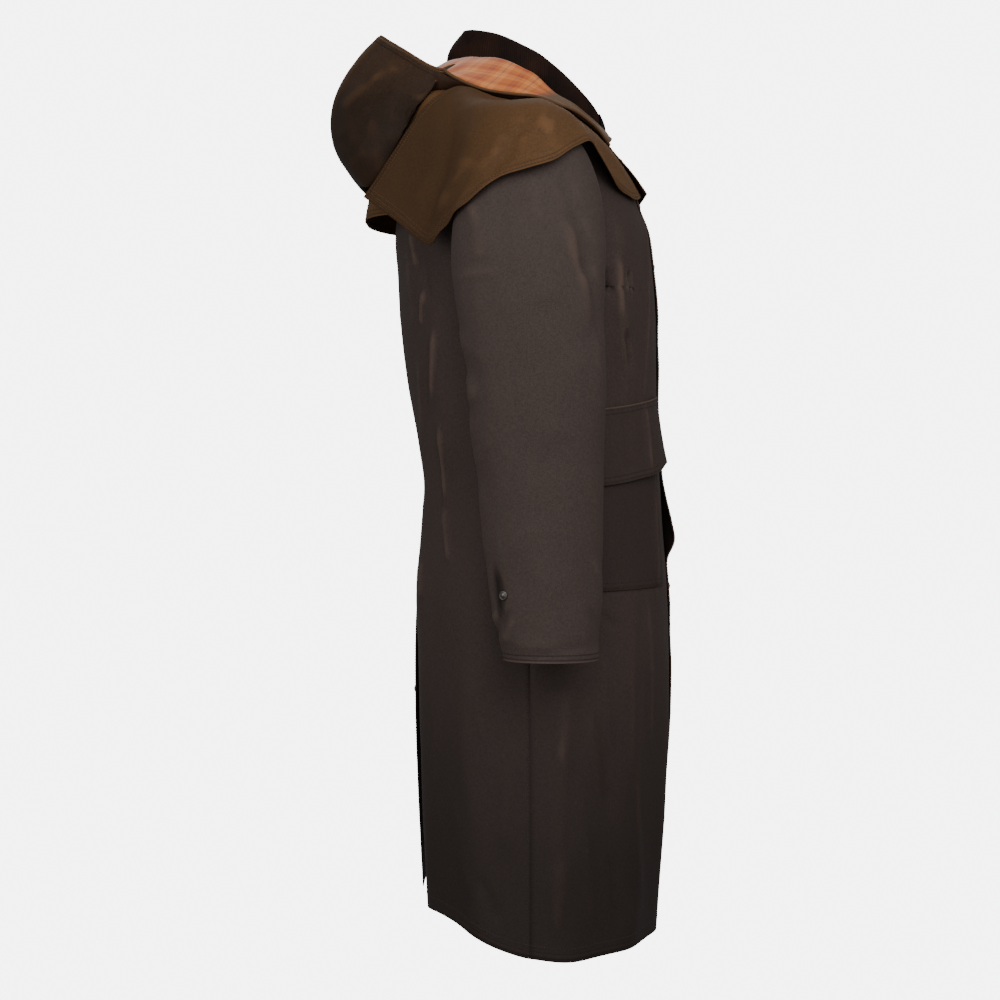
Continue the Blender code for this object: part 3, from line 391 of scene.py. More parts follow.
CAPE_CREASE_ROWS = (
    (432, 245, 455, 192, 8, 5, 5),
    (455, 192, 474, 163, 8, 4, 0),
    (441, 238, 478, 172, 8, -4, 4),
    (450, 232, 494, 160, 9, 3, 6),
    (462, 214, 497, 168, 7, -3, 0),
    (522, 132, 512, 148, 6, -4, 2),
    (513, 147, 487, 187, 8, -5, 4),
    (505, 140, 494, 166, 10, 3, 0),
    (536, 128, 552, 136, 12, 4, 0),
    (530, 142, 546, 150, 10, -2.5, 0),
    (412, 205, 450, 150, 12, 2, 4),
    (424, 222, 466, 140, 10, -2, 4),
    (440, 215, 488, 124, 10, 2, 6),
    (402, 170, 425, 135, 12, -1.5, 0),
    (560, 110, 590, 150, 12, 2, 5),
    (575, 105, 603, 150, 8, -2, 4),
    (556, 166, 590, 140, 12, 2, 0),
    (470, 108, 520, 112, 14, 1.5, 0),
    (600, 160, 616, 192, 6, 3, 0),
    (593, 152, 607, 186, 6, -3, 0),
    (620, 182, 634, 198, 6, -2, 0),
    (612, 160, 640, 195, 7, 2, 0),
    (500, 120, 560, 150, 20, 2, 10),
)
HOOD_CREASE_ROWS = (
    (340, 106, 370, 80, 10, 3, 5),
    (368, 81, 402, 70, 9, 3, 4),
    (350, 112, 392, 86, 12, -3, 5),
    (405, 66, 425, 76, 8, -2, 0),
    (414, 101, 404, 118, 12, -4, 0),
    (408, 97, 397, 135, 12, -3, 3),
    (440, 88, 405, 110, 9, 3, 3),
    (350, 60, 365, 100, 12, -1.5, 0),
    (355, 150, 385, 175, 14, 2, 4),
    (340, 130, 352, 160, 10, -2, 0),
    (372, 120, 380, 160, 14, 2, 0),
    (385, 60, 410, 62, 9, 2, 0),
    (428, 84, 470, 92, 8, -2, 0),
)
# How far from the centre plane the creases of these pieces lie
SLEEVE_CREASES_OUT = 0.35
CAPE_CREASES_OUT = 0.27
HOOD_CREASES_OUT = 0.12

# Creases that the photo hides, and the cuff slit that is only painted shade, by forward and height measure:
# from, to, width, height and bow
INNER_SLEEVE_ROWS = (
    (-0.080, -0.470, 0.020, -0.485, 0.008, -0.003, 0.006),
    (-0.075, -0.500, 0.030, -0.520, 0.009, 0.003, 0.006),
    (0.110, -0.440, 0.040, -0.470, 0.008, -0.003, -0.006),
    (-0.060, -0.640, 0.040, -0.650, 0.008, -0.002, 0.004),
)
# The cuff slit, drawn only as a painted shade line.
SLIT_ROWS = (
    (-0.035, -0.662, -0.028, -0.735, 0.0045, 1.0, 0.002),
)
SLIT_OUT = 0.29
BODY_RADIUS = 0.20
SLEEVE_RADIUS = 0.075
FAR_SIDE_TURN = 0.012
FAR_SIDE_DROP = 0.022
CREASE_FADE = 0.35
CREASE_UNEVEN = 0.25
WAVE_COUNT = 12
BODY_VIEW_ANGLES = (10.0, 172.0, 650)
BODY_VIEW_LEVELS = (-1.2, -0.05, 900)

# Grid of the looks
FINE_SKIRT_ROWS = 150
FINE_ARMHOLE_ROWS = 52
FINE_NECK_ROWS = 9
FINE_PANEL_COLUMNS = 66
FINE_SLEEVE_ROWS = 180
FINE_SLEEVE_COLUMNS = 104
FINE_FLAP_COLUMNS = 15
FINE_YOKE_ROWS = 46
FINE_YOKE_COLUMNS = 56
HOOD_TIMES_DOWN = 8
HOOD_TIMES_ACROSS = 5
FINE_COLLAR_COLUMNS = 1100
FINE_COLLAR_ROWS = 18
FINE_POCKET_COLUMNS = 44
FINE_POCKET_ROWS = 50
FINE_FLAP_ANGLES = 52
FINE_FLAP_ROWS = 26
FLAP_RIPPLE = 0.0006
LIFT_REACH = 0.009
LIFT_DEEPEST = -0.02
CAPE_NEAREST = 0.0008
HOOD_NEAREST = 0.0009
LINING_BLURS = 10
LINING_PULL = 0.009
HOOD_FACING_TURN = 80.0
SIDE_FOLD_TURNS = (70.0, 141.0)
SIDE_FOLD_ROWS = 16
SIDE_FOLD_IN = 0.013
SIDE_FOLD_BULGE = 0.0035

# Stitching and studs
SEAM_LINES = (0.0035, 0.0095)
BODY_HEM_LINE = 0.0180
CUFF_HEM_LINE = 0.0200
CAPE_HEM_LINE = 0.0150
YOKE_HEM_LINES = (0.0035, 0.0095, 0.0155, 0.0215, 0.0275)
STITCH_RUN = (-0.5, -0.2, 0.2, 0.5)
STITCH_THICK = (0.3, 1.0, 1.0, 0.3)
STITCH_SINK = (-0.8, 0.5, 0.5, -0.8)
STUD_TURNS = 40
STUD_PROFILE = (
    (0.0, -0.8), (0.96, -0.8), (1.0, 0.2), (1.0, 1.1), (0.93, 1.7), (0.82, 1.9), (0.74, 1.6), (0.66, 1.7),
    (0.50, 2.5), (0.28, 3.1), (0.0, 3.3),
)

# Finishes
PLAID_REPEAT = 0.046
PLAID_BANDS = (
    (0.0, "ground"), (0.30, "light"), (0.46, "slate"), (0.50, "light"), (0.66, "ground"), (0.80, "rust"),
    (0.90, "slate"), (0.93, "rust"),
)
TWILL_TURNS = 5200.0
WEAVE_SCALES = ((1300.0, 150.0, 1.0), (150.0, 1300.0, 1.0))
# Darker lapping end of the collar.
COLLAR_END_DARKENING = 0.8
# Painted shade on the pockets and, less, on their flaps.
POCKET_SHADE = 0.34
POCKET_FLAP_SHADE = 0.14
# Painted shade on the body, darker towards the hem.
SKIRT_SHADE = 0.56
SKIRT_SHADE_TOP = -0.64
SKIRT_SHADE_REACH = 0.50
# Painted shade on the cape, darker towards the back.
CAPE_SHADE = 0.58
CAPE_SHADE_FROM = 0.045
CAPE_SHADE_REACH = 0.19
# Painted shade on the hood, darker towards its lower part.
HOOD_SHADE = 0.56
HOOD_SHADE_FROM = 0.045
HOOD_SHADE_REACH = 0.09

# Studio
WORLD_STRENGTH = 0.30
BACKDROP_STRENGTH = 6.0
LIGHT_ROWS = (
    ("key_light", (0.60, -1.80, 1.15), (0.0, 0.0, -0.15), 2.2, 62.0),
    ("fill_light", (2.0, -1.3, 0.4), (0.0, 0.0, -0.35), 1.4, 16.0),
    ("front_light", (-0.2, -3.2, -0.4), (0.0, 0.0, -0.55), 2.6, 34.0),
    ("rear_light", (-2.0, -1.5, 0.1), (0.0, 0.0, -0.45), 1.4, 32.0),
    ("far_light", (-0.2, 2.2, 1.2), (0.0, 0.0, -0.4), 1.6, 30.0),
)
CAMERA_PLACE = (-0.0294, -2.75, -0.4853)
PHOTO_MIDDLE = 500.0
PHOTO_EYE_LEVEL = 430.0
PIXELS_PER_METRE = 680.0
CAMERA_TARGET = (-0.0294, 0.0, -0.5882)
CAMERA_LENS = 67.32


def table(columns, rows):
    """The rows as one array for each named column."""
    return dict(zip(columns, np.array(rows, float).T))


BODY = table(BODY_COLUMNS, BODY_ROWS)
HEM = table(HEM_COLUMNS, HEM_ROWS)
VENT = table(VENT_COLUMNS, VENT_ROWS)
COLLAR = table(COLLAR_COLUMNS, COLLAR_ROWS)
CAPE = table(CAPE_COLUMNS, CAPE_ROWS)
YOKE = table(YOKE_COLUMNS, YOKE_ROWS)
HOOD = table(HOOD_COLUMNS, HOOD_ROWS)
BAG = table(BAG_COLUMNS, BAG_ROWS)
CURL = table(CURL_COLUMNS, CURL_ROWS)
POCKET_FLAP = table(POCKET_FLAP_COLUMNS, POCKET_FLAP_ROWS)


# Curves and surfaces

def smooth(at, keys, values):
    """Cubic curve through the values, whose slope at each key is that of its neighbours."""
    at = np.asarray(at, float)
    values = np.asarray(values, float)
    slopes = np.gradient(values, keys, axis=0)
    i = np.clip(np.searchsorted(keys, at, side="right") - 1, 0, len(keys) - 2)
    span = keys[i + 1] - keys[i]
    t = np.clip((at - keys[i]) / span, 0.0, 1.0)
    more = (1,) * (values.ndim - 1)
    t = t.reshape(t.shape + more)
    span = span.reshape(span.shape + more)
    start = (1 + 2 * t) * (1 - t) ** 2 * values[i] + t * (1 - t) ** 2 * span * slopes[i]
    end = t**2 * (3 - 2 * t) * values[i + 1] + t**2 * (t - 1) * span * slopes[i + 1]
    return start + end


def unit(vectors):
    return vectors / np.linalg.norm(vectors, axis=-1, keepdims=True)


def signed_power(value, power):
    return np.sign(value) * np.abs(value) ** power


def soft_step(value):
    """0 below 0, 1 above 1 and a smooth rise between."""
    value = np.clip(value, 0.0, 1.0)
    return value * value * (3 - 2 * value)


def normals_of(grid, wrap=False):
    """Unit normal at each point of a grid, from the faces round it: row direction crossed with column's."""
    if wrap:
        grid = np.concatenate((grid, grid[:, :1]), axis=1)
    rising = grid[1:, 1:] - grid[:-1, :-1]
    falling = grid[1:, :-1] - grid[:-1, 1:]
    faces = unit(np.cross(falling, rising))
    total = np.zeros_like(grid)
    for rows in (slice(None, -1), slice(1, None)):
        for columns in (slice(None, -1), slice(1, None)):
            total[rows, columns] += faces
    if wrap:
        total[:, 0] += total[:, -1]
        total = total[:, :-1]
    return unit(total)


def moved_out(grid, distance, wrap=False):
    return grid + normals_of(grid, wrap) * np.asarray(distance)[..., None]


def mirrored(grid):
    """The other side's grid, its columns turned round so that its faces still point out."""
    return grid[:, ::-1] * np.array((1.0, -1.0, 1.0))


# Body form

def ring_form(angle, level):
    """Squared oval at the level, its halves set by the front, back and side sizes, higher at the back."""
    front, back, half_width, drop, rise, square = (
        smooth(level, BODY["level"], BODY[name]) for name in BODY_COLUMNS[1:]
    )
    turn = np.radians(angle)
    across, along = np.sin(turn), np.cos(turn)
    power = 2 / square
    depth = np.where(along > 0, front - AXIS_X, AXIS_X - back)
    forward = signed_power(along, power)
    x = AXIS_X + depth * forward
    y = -half_width * signed_power(across, power)
    z = level + np.where(along > 0, -drop, rise) * forward**2
    return np.stack((x, y, z), axis=-1)


def form_normal(angle, level):
    round_step, up_step = 0.6, 0.002
    up = ring_form(angle, level + up_step) - ring_form(angle, level - up_step)
    round_way = ring_form(angle + round_step, level) - ring_form(angle - round_step, level)
    return unit(np.cross(up, round_way))


def fold_height(angle, level):
    """Sum of the folds: each a bell across its line, fading in and out at its ends."""
    total = np.zeros(np.broadcast(angle, level).shape)
    around = np.abs(angle)
    for side, top_angle, bottom_angle, top, bottom, width, depth in FOLD_ROWS:
        share = (top - level) / (top - bottom)
        centre = top_angle + (bottom_angle - top_angle) * share
        bell = np.exp(-(((around - centre) / width) ** 2))
        ends = soft_step(share / 0.3) * soft_step((1 - share) / 0.3)
        here = (side == 0) | (np.sign(angle) == side)
        total += np.where(here, depth * bell * ends, 0.0)
    lap = np.exp(-(((around - 180.0) / VENT_WIDTH) ** 2))
    right_out = np.interp(level, VENT["level"], VENT["right_out"])
    left_out = np.interp(level, VENT["level"], VENT["left_out"])
    return total + lap * np.where(angle > 0, right_out, left_out)


def body_point(angle, level, out=0.0, creased=False):
    angle, level = np.broadcast_arrays(np.asarray(angle, float), np.asarray(level, float))
    height = fold_height(angle, level) + out
    if creased:
        height = height + body_creases(angle, level)
    return ring_form(angle, level) + form_normal(angle, level) * height[..., None]


def angle_off_centre(distance, level):
    """Angle from the centre line of a point this far from the centre plane."""
    half_width = smooth(level, BODY["level"], BODY["half_width"])
    square = smooth(level, BODY["level"], BODY["square"])
    return np.degrees(np.arcsin(signed_power(distance / half_width, square / 2)))


def hemmed(level, angle):
    """Skirt levels are stretched so that the last is the hem's own at that angle."""
    hem = smooth(np.abs(angle), HEM["angle"], HEM["level"])
    stretched = SKIRT_LEVEL + (level - SKIRT_LEVEL) * (hem - SKIRT_LEVEL) / (HEM_LEVEL - SKIRT_LEVEL)
    return np.where(level < SKIRT_LEVEL, stretched, level)


def armhole_half_angle(level):
    share = np.clip((level - ARMHOLE_MIDDLE) / ARMHOLE_HALF, -1.0, 1.0)
    return ARMHOLE_HALF_ANGLE * np.sqrt(1 - share**2)


def armhole_turns():
    return np.linspace(0.0, 180.0, ARMHOLE_STEPS // 2 + 1)


def panel_levels():
    """Levels of the rows from the hem up; those at the armhole meet the sleeve's own points."""
    skirt = np.linspace(HEM_LEVEL, UNDERARM_LEVEL, SKIRT_ROWS + 1)[:-1]
    armhole = ARMHOLE_MIDDLE - ARMHOLE_HALF * np.cos(np.radians(armhole_turns()))
    return np.concatenate((skirt, armhole, UPPER_LEVELS, (NECK_LEVEL,)))


def panel_grid(side, is_front, levels, shares, creased=False):
    """A front or back: shares run from the centre line, 0, to the side seam or armhole, 1."""
    level = levels[:, None]
    share = shares[None, :]
    if is_front:
        centre = np.zeros_like(level)
        side_angle = 90.0 - armhole_half_angle(level)
    else:
        name = "right_edge" if side > 0 else "left_edge"
        edge = np.interp(level, VENT["level"], VENT[name])
        centre = 180.0 + side * angle_off_centre(edge, level)
        side_angle = 90.0 + armhole_half_angle(level)
    angle = centre + (side_angle - centre) * share
    grid = body_point(side * angle, hemmed(level, angle), creased=creased)
    closed = np.ones(len(levels), bool)
    if not is_front:
        closed = edge[:, 0] == 0.0
    grid[closed, 0, 1] = -side * SEAM_GAP / 2
    seamed = armhole_half_angle(levels) < 1e-6
    to_seam = SEAM_GAP / 2 if is_front else -SEAM_GAP / 2
    grid[seamed, -1, 0] = AXIS_X + to_seam
    return grid if (side > 0) == is_front else grid[:, ::-1]


def panel_shares():
    return np.linspace(0.0, 1.0, PANEL_COLUMNS + 1)


# Sleeves

def sleeve_rings(turns):
    """The armhole and the table's ovals, for the wearer's right: ring, point, xyz."""
    turn = np.radians(turns)
    level = ARMHOLE_MIDDLE + ARMHOLE_HALF * np.cos(turn)
    angle = 90.0 - ARMHOLE_HALF_ANGLE * np.sin(turn)
    rings = [body_point(angle, level, WALL + 2 * SEAM_GAP)]
    for outer_out, outer_z, inner_out, inner_z, middle_x, half_x in SLEEVE_ROWS:
        outer = np.array((middle_x, -outer_out, outer_z))
        inner = np.array((middle_x, -inner_out, inner_z))
        along = np.cos(turn)[:, None] * (outer - inner) / 2
        across = np.sin(turn)[:, None] * np.array((half_x, 0.0, 0.0))
        rings.append((outer + inner) / 2 + along + across)
    return np.array(rings)


def sleeve_grid(steps, turns):
    rings = sleeve_rings(turns)
    return smooth(np.asarray(steps, float), np.arange(len(rings), dtype=float), rings)


# Draping one piece over others

def under_samples():
    """Points and outward normals on the outside of the upper body and the sleeves."""
    angles = np.arange(-180.0, 180.0, UNDER_ANGLE_STEP)[None, :]
    levels = np.arange(UNDER_LOWEST, NECK_LEVEL, UNDER_LEVEL_STEP)[:, None]
    body = body_point(angles, levels, WALL)
    sleeve = sleeve_grid(np.arange(0.0, 6.0, 0.12), np.arange(0.0, 360.0, 7.5))
    sleeve = moved_out(sleeve, WALL, wrap=True)
    grids = (body, sleeve, mirrored(sleeve))
    points = np.concatenate([grid.reshape(-1, 3) for grid in grids])
    normals = np.concatenate([
        normals_of(grid, wrap=True).reshape(-1, 3) for grid in grids
    ])
    return points, normals


def samples_of(grid, wall):
    """Points and normals on the outer face of a piece, its grid doubled in both ways."""
    finer = refined(refined(grid).transpose(1, 0, 2)).transpose(1, 0, 2)
    outer = moved_out(finer, wall)
    return outer.reshape(-1, 3), normals_of(outer).reshape(-1, 3)


def refined(grid, times=4):
    rows = np.arange(len(grid), dtype=float)
    return smooth(np.linspace(0, len(grid) - 1, (len(grid) - 1) * times + 1), rows, grid)


def nearest_samples(points, samples):
    """Index of the sample nearest to each point, worked out in blocks."""
    squares = (samples**2).sum(axis=1)
    blocks = np.array_split(points, len(points) // NEAREST_BLOCK + 1)
    return np.concatenate([
        np.argmin(squares - 2 * block @ samples.T, axis=1) for block in blocks
    ])


def height_over(points, samples, normals):
    """Height of each point over its nearest sample, its distance beside it, and the sample's normal."""
    nearest = nearest_samples(points, samples)
    offset = points - samples[nearest]
    height = (offset * normals[nearest]).sum(axis=-1)
    beside = np.linalg.norm(offset - height[:, None] * normals[nearest], axis=-1)
    return height, beside, normals[nearest]


def bilinear(grid, times):
    """The grid's own flat faces, with their points multiplied."""
    for _ in range(2):
        rows = np.linspace(0, len(grid) - 1, (len(grid) - 1) * times + 1)
        low = np.minimum(rows.astype(int), len(grid) - 2)
        share = (rows - low).reshape(-1, *(1,) * (grid.ndim - 1))
        grid = (grid[low] * (1 - share) + grid[low + 1] * share).swapaxes(0, 1)
    return grid


def laid_over(grid, under, clearance, reach=0.012):
    """Moves the grid out until its points, then its faces too, are clear of what lies beneath them."""
    samples, normals = under
    coarse_clearance = np.broadcast_to(clearance, grid.shape[:2])
    for times, blurs in LAY_ROUNDS:
        clearance = bilinear(coarse_clearance, times)
        fine = bilinear(grid, times)
        height, beside, facing = height_over(fine.reshape(-1, 3), samples, normals)
        short = np.maximum(clearance.reshape(-1) - height, 0.0) * (beside < reach)
        short = short.reshape(fine.shape[:2])
        push = short[..., None] * facing.reshape(fine.shape)
        push = largest_near(short, push, times)
        for _ in range(blurs):
            push = blurred(push)
        grid = grid + push
    return grid


def blurred(field):
    """Each point averaged with its neighbours down and across."""
    for _ in range(2):
        padded = np.concatenate((field[:1], field, field[-1:]))
        field = ((padded[:-2] + padded[2:]) / 4 + field / 2).swapaxes(0, 1)
    return field


def largest_near(short, push, times):
    """For each point of the coarse grid, the push of the shortest fine point within its own faces."""
    best = short[::times, ::times].copy()
    chosen = push[::times, ::times].copy()
    around = range(1 - times, times)
    rows, columns = short.shape
    row = np.arange(0, rows, times)[:, None]
    column = np.arange(0, columns, times)[None, :]
    for down in around:
        for across in around:
            i = np.clip(row + down, 0, rows - 1)
            j = np.clip(column + across, 0, columns - 1)
            more = short[i, j] > best
            best = np.where(more, short[i, j], best)
            chosen = np.where(more[..., None], push[i, j], chosen)
    return chosen


# Collar

def collar_out(turn):
    """How far the lapping left end stands out over the right."""
    lap = (turn - COLLAR_LAP_FROM) / (COLLAR_LAP_FULL - COLLAR_LAP_FROM)
    return soft_step(lap) * (COLLAR_WALL + LAY_GAP)


def collar_point(turn, share, out=0.0):
    """Inner face at a turn of 0 to 386 degrees round the neck, share 0 at the seam to 1 at the top."""
    around = np.where(turn > 360.0, turn - 360.0, np.where(turn > 180.0, 360.0 - turn, turn))
    height, lean, roll = (
        smooth(around, COLLAR["angle"], COLLAR[name]) for name in COLLAR_COLUMNS[1:]
    )
    base = ring_form(turn, np.full(np.shape(turn), NECK_LEVEL))
    facing = form_normal(turn, np.full(np.shape(turn), -0.05))
    facing = unit(facing * np.array((1.0, 1.0, 0.0)))
    outward = lean * share + roll * np.sin(np.pi * share) + collar_out(turn) + out
    up = COLLAR_LIFT + height * share
    return base + facing * outward[..., None] + np.array((0.0, 0.0, 1.0)) * up[..., None]


def collar_grid(turns, shares):
    turn, share = np.meshgrid(turns, shares)
    return collar_point(turn, share)


# Cape

def cape_grid(sections, shares, side):
    """Sections from the front edge to the back one, rows from the hem, 1, to the neck, 0."""
    rows = {name: CAPE[name].copy() for name in CAPE_COLUMNS}
    if side < 0:
        rows["neck_angle"][0], rows["ridge_angle"][0] = CAPE_LAP_ANGLES
        rows["hem_x"][0], rows["hem_out"][0], rows["hem_z"][0] = CAPE_LAP_HEM
    keys = np.arange(len(CAPE_ROWS), dtype=float)
    corner = keys[-2]

    def along_hem(values):
        """A smooth curve as far as the back corner, then straight."""
        curve = smooth(np.minimum(sections, corner), keys[:-1], values[:-1])
        line = np.interp(sections, keys[-2:], values[-2:])
        return np.where(sections > corner, line, curve)

    at = {name: along_hem(rows[name]) for name in CAPE_COLUMNS}
    neck_level = np.full(sections.shape, CAPE_NECK_LEVEL)
    ridge_level = np.full(sections.shape, CAPE_RIDGE_LEVEL)
    neck = body_point(at["neck_angle"], neck_level, WALL + 2 * LAY_GAP)
    ridge = body_point(at["ridge_angle"], ridge_level, WALL + CAPE_CLEARANCE)
    hem = np.stack((at["hem_x"], -at["hem_out"], at["hem_z"]), axis=-1)
    bow = np.stack((np.zeros_like(hem[:, 0]), -at["bow_out"], at["bow_up"]), axis=-1)
    passes = np.array((0.0, CAPE_RIDGE_SHARE, 1.0))
    grid = smooth(shares, passes, np.array((neck, ridge, hem)))
    beyond = np.clip((shares - CAPE_RIDGE_SHARE) / (1 - CAPE_RIDGE_SHARE), 0.0, 1.0)
    return grid + np.sin(np.pi * beyond)[:, None, None] * bow


# Hood

def hood_grid(shares):
    """Sections from the right throat round to the left: a straight line from the collar to the rim,
    plus its share of the bag's profile."""
    half = np.array(HOOD_TURNS, float)
    turn = np.concatenate((half, half[-2::-1]))
    side = np.where(np.arange(len(turn)) < len(half), 1.0, -1.0)
    rise, rim_x, rim_out, rim_z, fullness, spread = (
        smooth(turn, HOOD["angle"], HOOD[name]) for name in HOOD_COLUMNS[1:]
    )
    height = smooth(turn, COLLAR["angle"], COLLAR["height"])
    lap = (COLLAR_WALL + LAY_GAP) * soft_step((HOOD_LAP_END - turn) / HOOD_LAP_FADE)
    neck = collar_point(turn, rise / height, COLLAR_WALL + HOOD_STAND + lap)
    rim = np.stack((rim_x, -rim_out, rim_z), axis=-1)
    back = smooth(shares, BAG["share"], BAG["back"]) - shares * BAG["back"][-1]
    up = smooth(shares, BAG["share"], BAG["up"]) - shares * BAG["up"][-1]
    bag = np.stack((-back, np.zeros_like(back), up), axis=-1)
    share = shares[:, None, None]
    grid = neck + (rim - neck) * share + fullness[None, :, None] * bag[:, None, :]
    grid[..., 1] -= spread * np.sin(np.pi * shares)[:, None]
    grid[..., 1] *= side
    return grid


def quads(rows, columns, wrap):
    row = np.arange(rows - 1)[:, None]
    column = np.arange(columns if wrap else columns - 1)[None, :]
    after = (column + 1) % columns
    corners = (
        row * columns + column,
        (row + 1) * columns + column,
        (row + 1) * columns + after,
        row * columns + after,
    )
    return np.stack(np.broadcast_arrays(*corners), axis=-1).reshape(-1, 4)


# Creases and crumple

def side_places(px, py, out):
    """Forward and height measure, to the millimetre, of what shows at a pixel of the photo this far from
    the centre plane."""
    eye_x, eye_y, eye_z = CAMERA_PLACE
    metres = (-eye_y - out) / -eye_y / PIXELS_PER_METRE
    forward = eye_x + (px - PHOTO_MIDDLE) * metres
    height = eye_z + (PHOTO_EYE_LEVEL - py) * metres
    return np.round(forward, 3), np.round(height, 3)


@functools.lru_cache(maxsize=None)
def body_view():
    """Angles and levels of a close grid on the wearer's right, and the pixels where its points show."""
    eye_x, eye_y, eye_z = CAMERA_PLACE
    angles = np.linspace(*BODY_VIEW_ANGLES)
    levels = np.linspace(*BODY_VIEW_LEVELS)
    x, y, z = np.moveaxis(body_point(angles[None, :], levels[:, None]), -1, 0)
    shrink = (-eye_y + y) / -eye_y
    px = PHOTO_MIDDLE + (x - eye_x) * PIXELS_PER_METRE / shrink
    py = PHOTO_EYE_LEVEL - (z - eye_z) * PIXELS_PER_METRE / shrink
    return angles, levels, px, py


def body_places(px, py):
    """Angle, to the degree, and level of the body's point that shows nearest to each pixel."""
    angles, levels, across, down = body_view()
    nearest = [np.argmin((across - x) ** 2 + (down - y) ** 2) for x, y in zip(px, py)]
    row, column = np.unravel_index(nearest, across.shape)
    return np.round(angles[column]), np.round(levels[row], 3)


def photo_lines(rows, places):
    """Crease lines in a piece's own two measures, from their pixels and their sizes in millimetres."""
    crease = table(CREASE_COLUMNS, rows)
    start = places(crease["from_px"], crease["from_py"])
    end = places(crease["to_px"], crease["to_py"])
    sizes = [crease[name] / 1000.0 for name in ("width_mm", "height_mm", "bow_mm")]
    return np.stack((*start, *end, *sizes), axis=-1)


@functools.lru_cache(maxsize=None)
def body_crease_lines():
    """Crease lines of both sides by distance round the body and level: the near side's, then the same on
    the far side a little turned, lowered and widened."""
    near = photo_lines(BODY_CREASE_ROWS, body_places)
    near[:, (0, 2)] = np.radians(near[:, (0, 2)]) * BODY_RADIUS
    far = near.copy()
    far[:, (0, 2)] = -far[:, (0, 2)] - FAR_SIDE_TURN
    far[:, (1, 3)] -= FAR_SIDE_DROP
    far[:, 4] *= 1.2
    return near, far


def side_lines(rows, out):
    return photo_lines(rows, lambda px, py: side_places(px, py, out))


def crease_lines(first, second, rows):
    """Sum of soft ridges and troughs: each is a bell across a bowed line between two places of a piece's
    own two measures, fading in and out at its ends."""
    total = np.zeros(np.broadcast(first, second).shape)
    for start_a, start_b, end_a, end_b, width, height, bow in rows:
        way = np.array((end_a - start_a, end_b - start_b))
        long = np.hypot(*way)
        along = ((first - start_a) * way[0] + (second - start_b) * way[1]) / long**2
        across = ((first - start_a) * way[1] - (second - start_b) * way[0]) / long
        across = across + bow * np.sin(np.pi * np.clip(along, 0.0, 1.0))
        ends = soft_step(along / CREASE_FADE + 0.3) * soft_step((1 - along) / CREASE_FADE + 0.3)
        wide = width * (1 + CREASE_UNEVEN * np.sin(7.0 * along + 40.0 * start_a))
        total += height * np.exp(-((across / wide) ** 2)) * ends
    return total


def plane_waves(first, second, length, seed, stretch=1.0):
    """Even random field: cosines of seeded directions and phases, about one in spread."""
    draw = np.random.default_rng(seed)
    total = np.zeros(np.broadcast(first, second).shape)
    for _ in range(WAVE_COUNT):
        turn, phase = draw.uniform(0.0, 2 * np.pi, 2)
        number = 2 * np.pi / (length * draw.uniform(0.7, 1.5))
        total += np.cos(
            number * (np.cos(turn) * first + np.sin(turn) * second / stretch) + phase
        )
    return total * np.sqrt(2.0 / WAVE_COUNT)


def crumple(first, second, seed, stretch=2.2):
    """Low relief of worn cloth: two sizes of soft swelling and a net of thin ridges where a third field
    passes nought."""
    large = plane_waves(first, second, 0.16, seed, stretch)
    small = plane_waves(first, second, 0.055, seed + 1, stretch)
    net = plane_waves(first, second, 0.11, seed + 2, stretch)
    ridges = np.exp(-((net / 0.10) ** 2)) * soft_step(0.5 + small / 2)
    return 0.55 * large + 0.22 * small + 0.55 * ridges


def body_creases(angle, level):
    """Crumple and crease lines of the body, none at the neck."""
    sizes = coat_sizes()
    round_way = np.radians(angle) * BODY_RADIUS
    total = crumple(round_way, level, 11) * sizes.crumple_height
    near, far = body_crease_lines()
    lines = crease_lines(round_way, level, near) + crease_lines(round_way, level, far)
    fade = soft_step((NECK_LEVEL - 0.10 - level) / 0.06)
    return (total + lines * sizes.crease_share) * fade


def side_creases(grid, rows, side, shift=0.0):
    """Crease lines of a piece that faces sideways, by forward and height measure."""
    rows = rows.copy()
    if side < 0:
        rows[:, (1, 3)] -= shift
        rows[:, 4] *= 1.15
        rows[:, (0, 2)] += shift / 2
    return crease_lines(grid[..., 0], grid[..., 2], rows) * coat_sizes().crease_share


# Fine shapes

def spread_blur(field, passes, wrap=False):
    """The field averaged with its neighbours down and across so many times."""
    for _ in range(passes):
        if wrap:
            field = (np.roll(field, 1, 1) + np.roll(field, -1, 1)) / 4 + field / 2
            padded = np.concatenate((field[:1], field, field[-1:]))
            field = (padded[:-2] + padded[2:]) / 4 + field / 2
        else:
            field = blurred(field)
    return field


def wear_and_painted_light_field(grid, wrap=False, outer=1, passes=4):
    """How far each point stands out of its blurred surroundings, in tenths of a millimetre; painted as wear
    and highlight on the ridges and as shade in the hollows.
    """
    soft = spread_blur(grid, passes, wrap)
    height = ((grid - soft) * normals_of(grid, wrap)).sum(axis=-1) * outer
    return height * 1e4


def fine_levels():
    skirt = np.linspace(HEM_LEVEL, UNDERARM_LEVEL, FINE_SKIRT_ROWS)[:-1]
    turns = np.radians(np.linspace(0.0, 180.0, FINE_ARMHOLE_ROWS))
    armhole = ARMHOLE_MIDDLE - ARMHOLE_HALF * np.cos(turns)
    upper = np.linspace(SHOULDER_LEVEL, NECK_LEVEL, FINE_NECK_ROWS)[1:]
    return np.concatenate((skirt, armhole, upper))


@functools.lru_cache(maxsize=None)
def body_shapes():
    """Fine grids of the fronts and backs by name."""
    levels = fine_levels()
    shares = np.linspace(0.0, 1.0, FINE_PANEL_COLUMNS)
    return {
        f"{part}_{hand}": panel_grid(side, part == "front", levels, shares, creased=True)
        for side, hand in ((1, "right"), (-1, "left"))
        for part in ("front", "back")
    }


